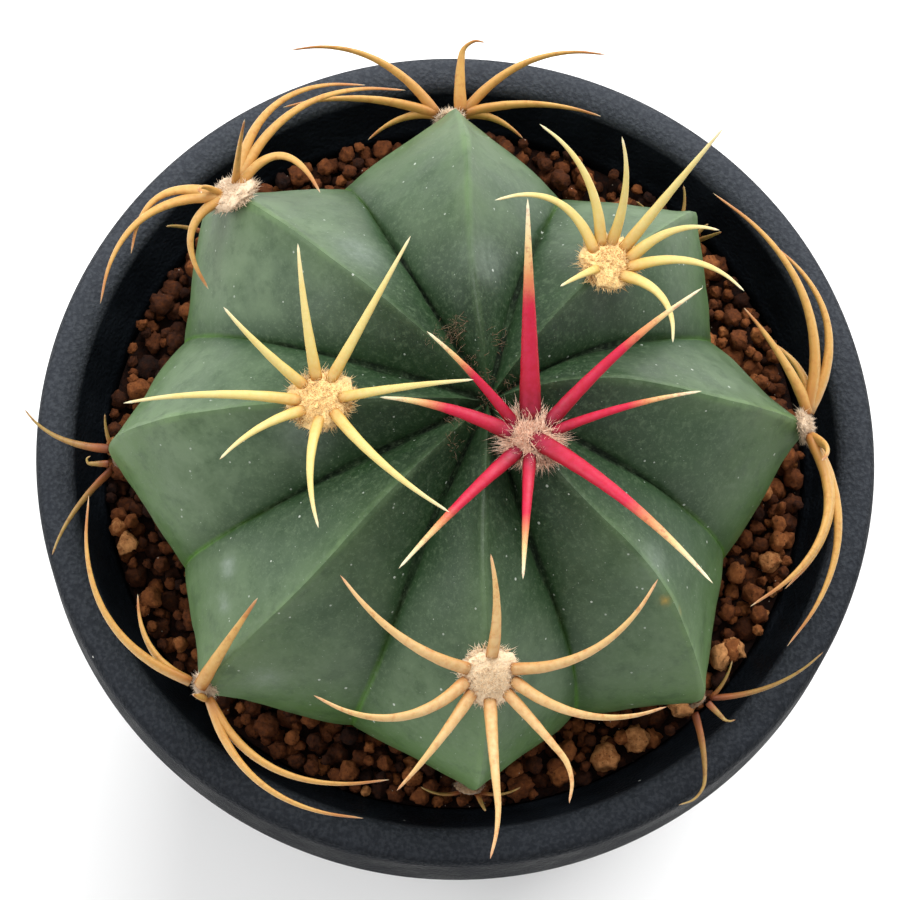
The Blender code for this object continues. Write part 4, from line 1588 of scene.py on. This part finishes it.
@dataclass
class Soil:
    """The soil: a dark rough bed whose darkness is partly painted shade between the granules, a field of
    granules on it, and the loose grains of the frame.
    """

    pot: NurseryPot
    body: bpy.types.Object
    shapes: GrainShapes
    shards: GrainShapes
    seed: int = 31
    inner: float = 29.0
    drop: float = 0.9
    wall_gap: float = 0.35
    # how many granules are tried in each layer, and how high it lies on the bed
    layers: tuple[tuple[int, float], ...] = ((5200, 0.2), (4600, 1.3), (1800, 2.2))
    radii: tuple[float, ...] = (0.75, 1.15, 1.45, 1.7)
    shares: tuple[float, ...] = (0.24, 0.30, 0.28, 0.18)
    # the least distance between two granules, and to the skin or wall, against their radii
    spacing: float = 0.80
    clearance: float = 0.90
    tint: float = 0.42
    tint_spread: float = 0.17
    # granules paler than this are shards
    pale: float = 0.88
    # painted light and shade: the granules are tinted lighter on one side of the pot and darker on the other
    painted_side_light: float = 0.05
    painted_side_light_turn: float = 0.5
    # bearing, distance from the pot's axis, radius and tint of the granules that stand out
    marked: tuple[tuple[float, ...], ...] = (
        (-37.0, 42.0, 2.0, 0.97), (-34.5, 45.0, 1.7, 0.93), (-48.0, 43.0, 2.1, 0.93),
        (-58.0, 45.6, 2.0, 0.86), (-64.0, 46.4, 1.9, 0.84), (178.0, 42.6, 1.5, 0.90),
        (-165.0, 42.5, 1.6, 0.90), (-72.0, 45.0, 1.8, 0.66),
    )

    def __post_init__(self) -> None:
        """Finds the soil's surface and the plant's skin."""
        self.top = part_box("soil_bed")[1][2] / MM
        self.tree = BVHTree.FromObject(self.body, bpy.context.evaluated_depsgraph_get())
        self.draw = np.random.default_rng(self.seed)

    def room(self, point: np.ndarray) -> float:
        """Works out the room between a point and the nearest of skin and wall.

        Args:
            point: the point, in millimetres.

        Returns:
            The room, in millimetres: below zero inside the plant.
        """
        near, normal, _, far = self.tree.find_nearest(Vector(point * MM))
        outside = (Vector(point * MM) - near).dot(normal) > 0
        skin = far / MM if outside else -far / MM
        wall = self.pot.cavity(min(point[2], self.top)) - math.hypot(point[0], point[1])
        return min(skin, wall)

    def build_bed(self, rows: int = 40, columns: int = 180) -> bpy.types.Object:
        """Builds the soil under the granules, as one closed piece with a rough top.

        Args:
            rows: how many rings of points its top has.
            columns: how many points a ring holds.

        Returns:
            The dressed piece.
        """
        turn = np.linspace(0, math.tau, columns, endpoint=False)
        rim = self.pot.cavity(self.top) - self.wall_gap
        low = self.pot.floor + 0.3
        radii = np.linspace(0.6, rim, rows)
        points, tints = [], []
        for radius in radii:
            for angle in turn:
                x, y = radius * math.cos(angle), radius * math.sin(angle)
                rough = noise.noise(Vector((x, y, 0)) / 1.1) + 0.6 * noise.noise(Vector((x, y, 9)) / 0.5)
                points.append((x, y, self.top - self.drop - 0.45 + 0.45 * rough))
                # Painted shade: the bed is tinted near-black, far darker than the granules, for the shade
                # between them as well as the soil's own dark colour.
                tints.append(0.06 + 0.10 * rough)
        side = [(self.pot.cavity(z) - self.wall_gap, z) for z in np.linspace(self.top - 2.0, low + 2.0, 10)]
        side += [(self.pot.cavity(low) - 1.6, low)]
        for radius, height in side:
            points += [(radius * math.cos(a), radius * math.sin(a), height) for a in turn]
            tints += [0.2 + 0.1 * noise.noise(Vector((a * 20, height, 0))) for a in turn]
        points += [(0, 0, self.top - self.drop - 0.4), (0, 0, low)]
        tints += [0.1, 0.1]
        faces = capped_faces(rows + len(side), columns)
        sheaf = Sheaf()
        sheaf.add(np.array(points) * MM, faces, tint=np.clip(tints, 0, 1))
        return dress(sheaf.piece("soil_under"), CLAY, "soil", "soil_bed")

    def places(self) -> list[tuple[np.ndarray, float, float]]:
        """Chooses where the granules lie.

        Returns:
            The centre, radius and tint of each.
        """
        chosen: list[tuple[np.ndarray, float, float]] = []
        for bearing, away, radius, tint in self.marked:
            angle = math.radians(bearing)
            away = min(away, self.pot.cavity(self.top) - radius - 0.2)
            middle = np.array([away * math.cos(angle), away * math.sin(angle), self.top + radius * 0.7])
            chosen.append((middle, radius, tint))
        for node in grain_nodes():
            low, high = (np.array(c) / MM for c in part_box(node))
            chosen.append(((low + high) / 2, float(np.mean(high - low)) / 2, -1.0))
        centres = np.array([middle for middle, _, _ in chosen])
        sizes = np.array([radius for _, radius, _ in chosen])
        outer = self.pot.cavity(self.top)
        for tries, lift in self.layers:
            for _ in range(tries):
                away = math.sqrt(self.draw.uniform(self.inner**2, outer**2))
                angle = self.draw.uniform(0, math.tau)
                radius = float(self.draw.choice(self.radii, p=self.shares))
                height = self.top - self.drop + lift + self.draw.uniform(-0.25, 0.25)
                away = min(away, outer - radius * 0.95)
                middle = np.array([away * math.cos(angle), away * math.sin(angle), height])
                gaps = np.linalg.norm(centres - middle, axis=1)
                crowded = np.any(gaps < self.spacing * (sizes + radius))
                if crowded or self.room(middle) < radius * self.clearance:
                    continue
                # Painted light and shade: the tint rises on one side of the pot and falls on the other.
                mean = self.tint + self.painted_side_light * math.cos(angle + self.painted_side_light_turn)
                tint = float(np.clip(self.draw.normal(mean, self.tint_spread), 0.08, self.pale))
                chosen.append((middle, radius, tint))
                centres = np.vstack([centres, middle])
                sizes = np.append(sizes, radius)
        return chosen

    def add_grain(self, sheaf: Sheaf, middle: np.ndarray, size: np.ndarray, tint: float) -> None:
        """Adds one granule: the pale ones are shards.

        Args:
            sheaf: the granules that it joins.
            middle: its middle, in millimetres.
            size: its half sizes, in millimetres.
            tint: how pale it is, 0 to 1.
        """
        kind = self.shards if tint > self.pale else self.shapes
        shape = kind.turned(self.draw)
        shape = (shape - (shape.max(0) + shape.min(0)) / 2) / np.ptp(shape, axis=0) * 2
        sheaf.add((middle + shape * size) * MM, [kind.faces], tint=tint)

    def build_field(self) -> bpy.types.Object:
        """Builds the field of granules as one piece.

        Returns:
            The dressed piece.
        """
        sheaf = Sheaf()
        for middle, radius, tint in self.places():
            if tint >= 0:
                size = radius * self.draw.uniform(0.86, 1.08, size=3)
                self.add_grain(sheaf, middle, size, tint)
        return dress(sheaf.piece("soil_granules"), CLAY, "soil_grains")

    def build_loose(self) -> None:
        """Builds each loose grain of the frame inside its own CAD box."""
        for node in grain_nodes():
            low, high = (np.array(c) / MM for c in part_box(node))
            sheaf = Sheaf()
            tint = float(np.clip(self.draw.normal(0.55, 0.14), 0.25, 0.9))
            self.add_grain(sheaf, (low + high) / 2, (high - low) / 2, tint)
            number = node.split("_")[-1]
            dress(sheaf.piece(f"loose_grain_{number}"), CLAY, "soil_grains", node)


# ---- studio --------------------------------------------------------------------------------


@dataclass
class Studio:
    """A pale floor, soft lights and the camera, in metres and degrees."""

    elevation: float = 74.2
    azimuth: float = -96.0
    distance: float = 0.480
    lens: float = 154.0
    target: tuple[float, float] = (-0.00087, -0.0004)
    # each lamp's name, place, size and power
    lamps: tuple[tuple[str, tuple[float, float, float], float, float], ...] = (
        ("key", (0.28, 0.72, 0.95), 1.0, 21.0), ("fill", (-0.95, 0.05, 0.75), 0.8, 7.0),
    )
    aim: float = 0.09
    sky: float = 0.80
    floor_half: float = 2.0

    def camera(self) -> None:
        """Places the camera, level with the frame's X axis across the view."""
        rise, turn = math.radians(self.elevation), math.radians(self.azimuth)
        back = Vector((math.cos(rise) * math.cos(turn), math.cos(rise) * math.sin(turn), math.sin(rise)))
        right = Vector((0, 1, 0)).cross(back).normalized()
        up = back.cross(right)
        target = Vector((*self.target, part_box("pot")[1][2]))
        data = bpy.data.cameras.new("camera")
        data.lens = self.lens
        data.sensor_width = 36.0
        data.clip_start = 0.01
        camera = bpy.data.objects.new("camera", data)
        bpy.context.scene.collection.objects.link(camera)
        axes = Matrix((right, up, back)).transposed().to_4x4()
        camera.matrix_world = Matrix.Translation(target + back * self.distance) @ axes
        bpy.context.scene.camera = camera

    def light(self, name: str, place: tuple[float, float, float], size: float, power: float) -> None:
        """Adds a square soft light that faces the plant.

        Args:
            name: the lamp's name.
            place: where it stands.
            size: how wide it is.
            power: its power, in watts.
        """
        data = bpy.data.lights.new(name, "AREA")
        data.size = size
        data.energy = power
        lamp = bpy.data.objects.new(name, data)
        bpy.context.scene.collection.objects.link(lamp)
        aim = Vector((0, 0, self.aim)) - Vector(place)
        lamp.rotation_euler = aim.to_track_quat("-Z", "Y").to_euler()
        lamp.location = place

    def floor(self) -> None:
        """Adds the floor: a pale sheet with a faint tooth."""
        sheaf = Sheaf()
        corners = np.array([[-1.0, -1, 0], [1, -1, 0], [1, 1, 0], [-1, 1, 0]]) * self.floor_half
        sheaf.add(corners, [np.array([[0, 1, 2, 3]])])
        floor = sheaf.piece("floor")
        r = Recipe("pale_floor", Roughness=0.8, Specular_IOR_Level=0.2)
        tooth = r.noise(0.4, 2.0)
        floor.data.materials.append(r.finish(r.mix(tooth, (0.90, 0.90, 0.90), (0.93, 0.93, 0.93))))

    def build(self) -> None:
        """Sets up the whole studio."""
        self.camera()
        self.floor()
        for lamp in self.lamps:
            self.light(*lamp)
        world = bpy.data.worlds.new("studio")
        world.use_nodes = True
        shade = world.node_tree.nodes["Background"]
        shade.inputs["Color"].default_value = (1.0, 1.0, 1.0, 1.0)
        shade.inputs["Strength"].default_value = self.sky
        bpy.context.scene.world = world
        bpy.context.scene.view_settings.view_transform = "Standard"


def main() -> None:
    """Builds every piece, then the studio."""
    logging.basicConfig(level=logging.INFO, format="%(name)s: %(message)s")
    form = PlantForm()
    body = PlantBody(form).build()
    for areole in AREOLES:
        SpineCluster(form, areole).build()
    CrownWool(form, body).build()
    pot = NurseryPot()
    pot.build()
    soil = Soil(pot, body, GrainShapes(), GrainShapes(kinds=6, seed=9, cuts=9, shallow=0.30, deep=0.62))
    soil.build_bed()
    soil.build_field()
    soil.build_loose()
    Studio().build()


if __name__ == "__main__":
    main()
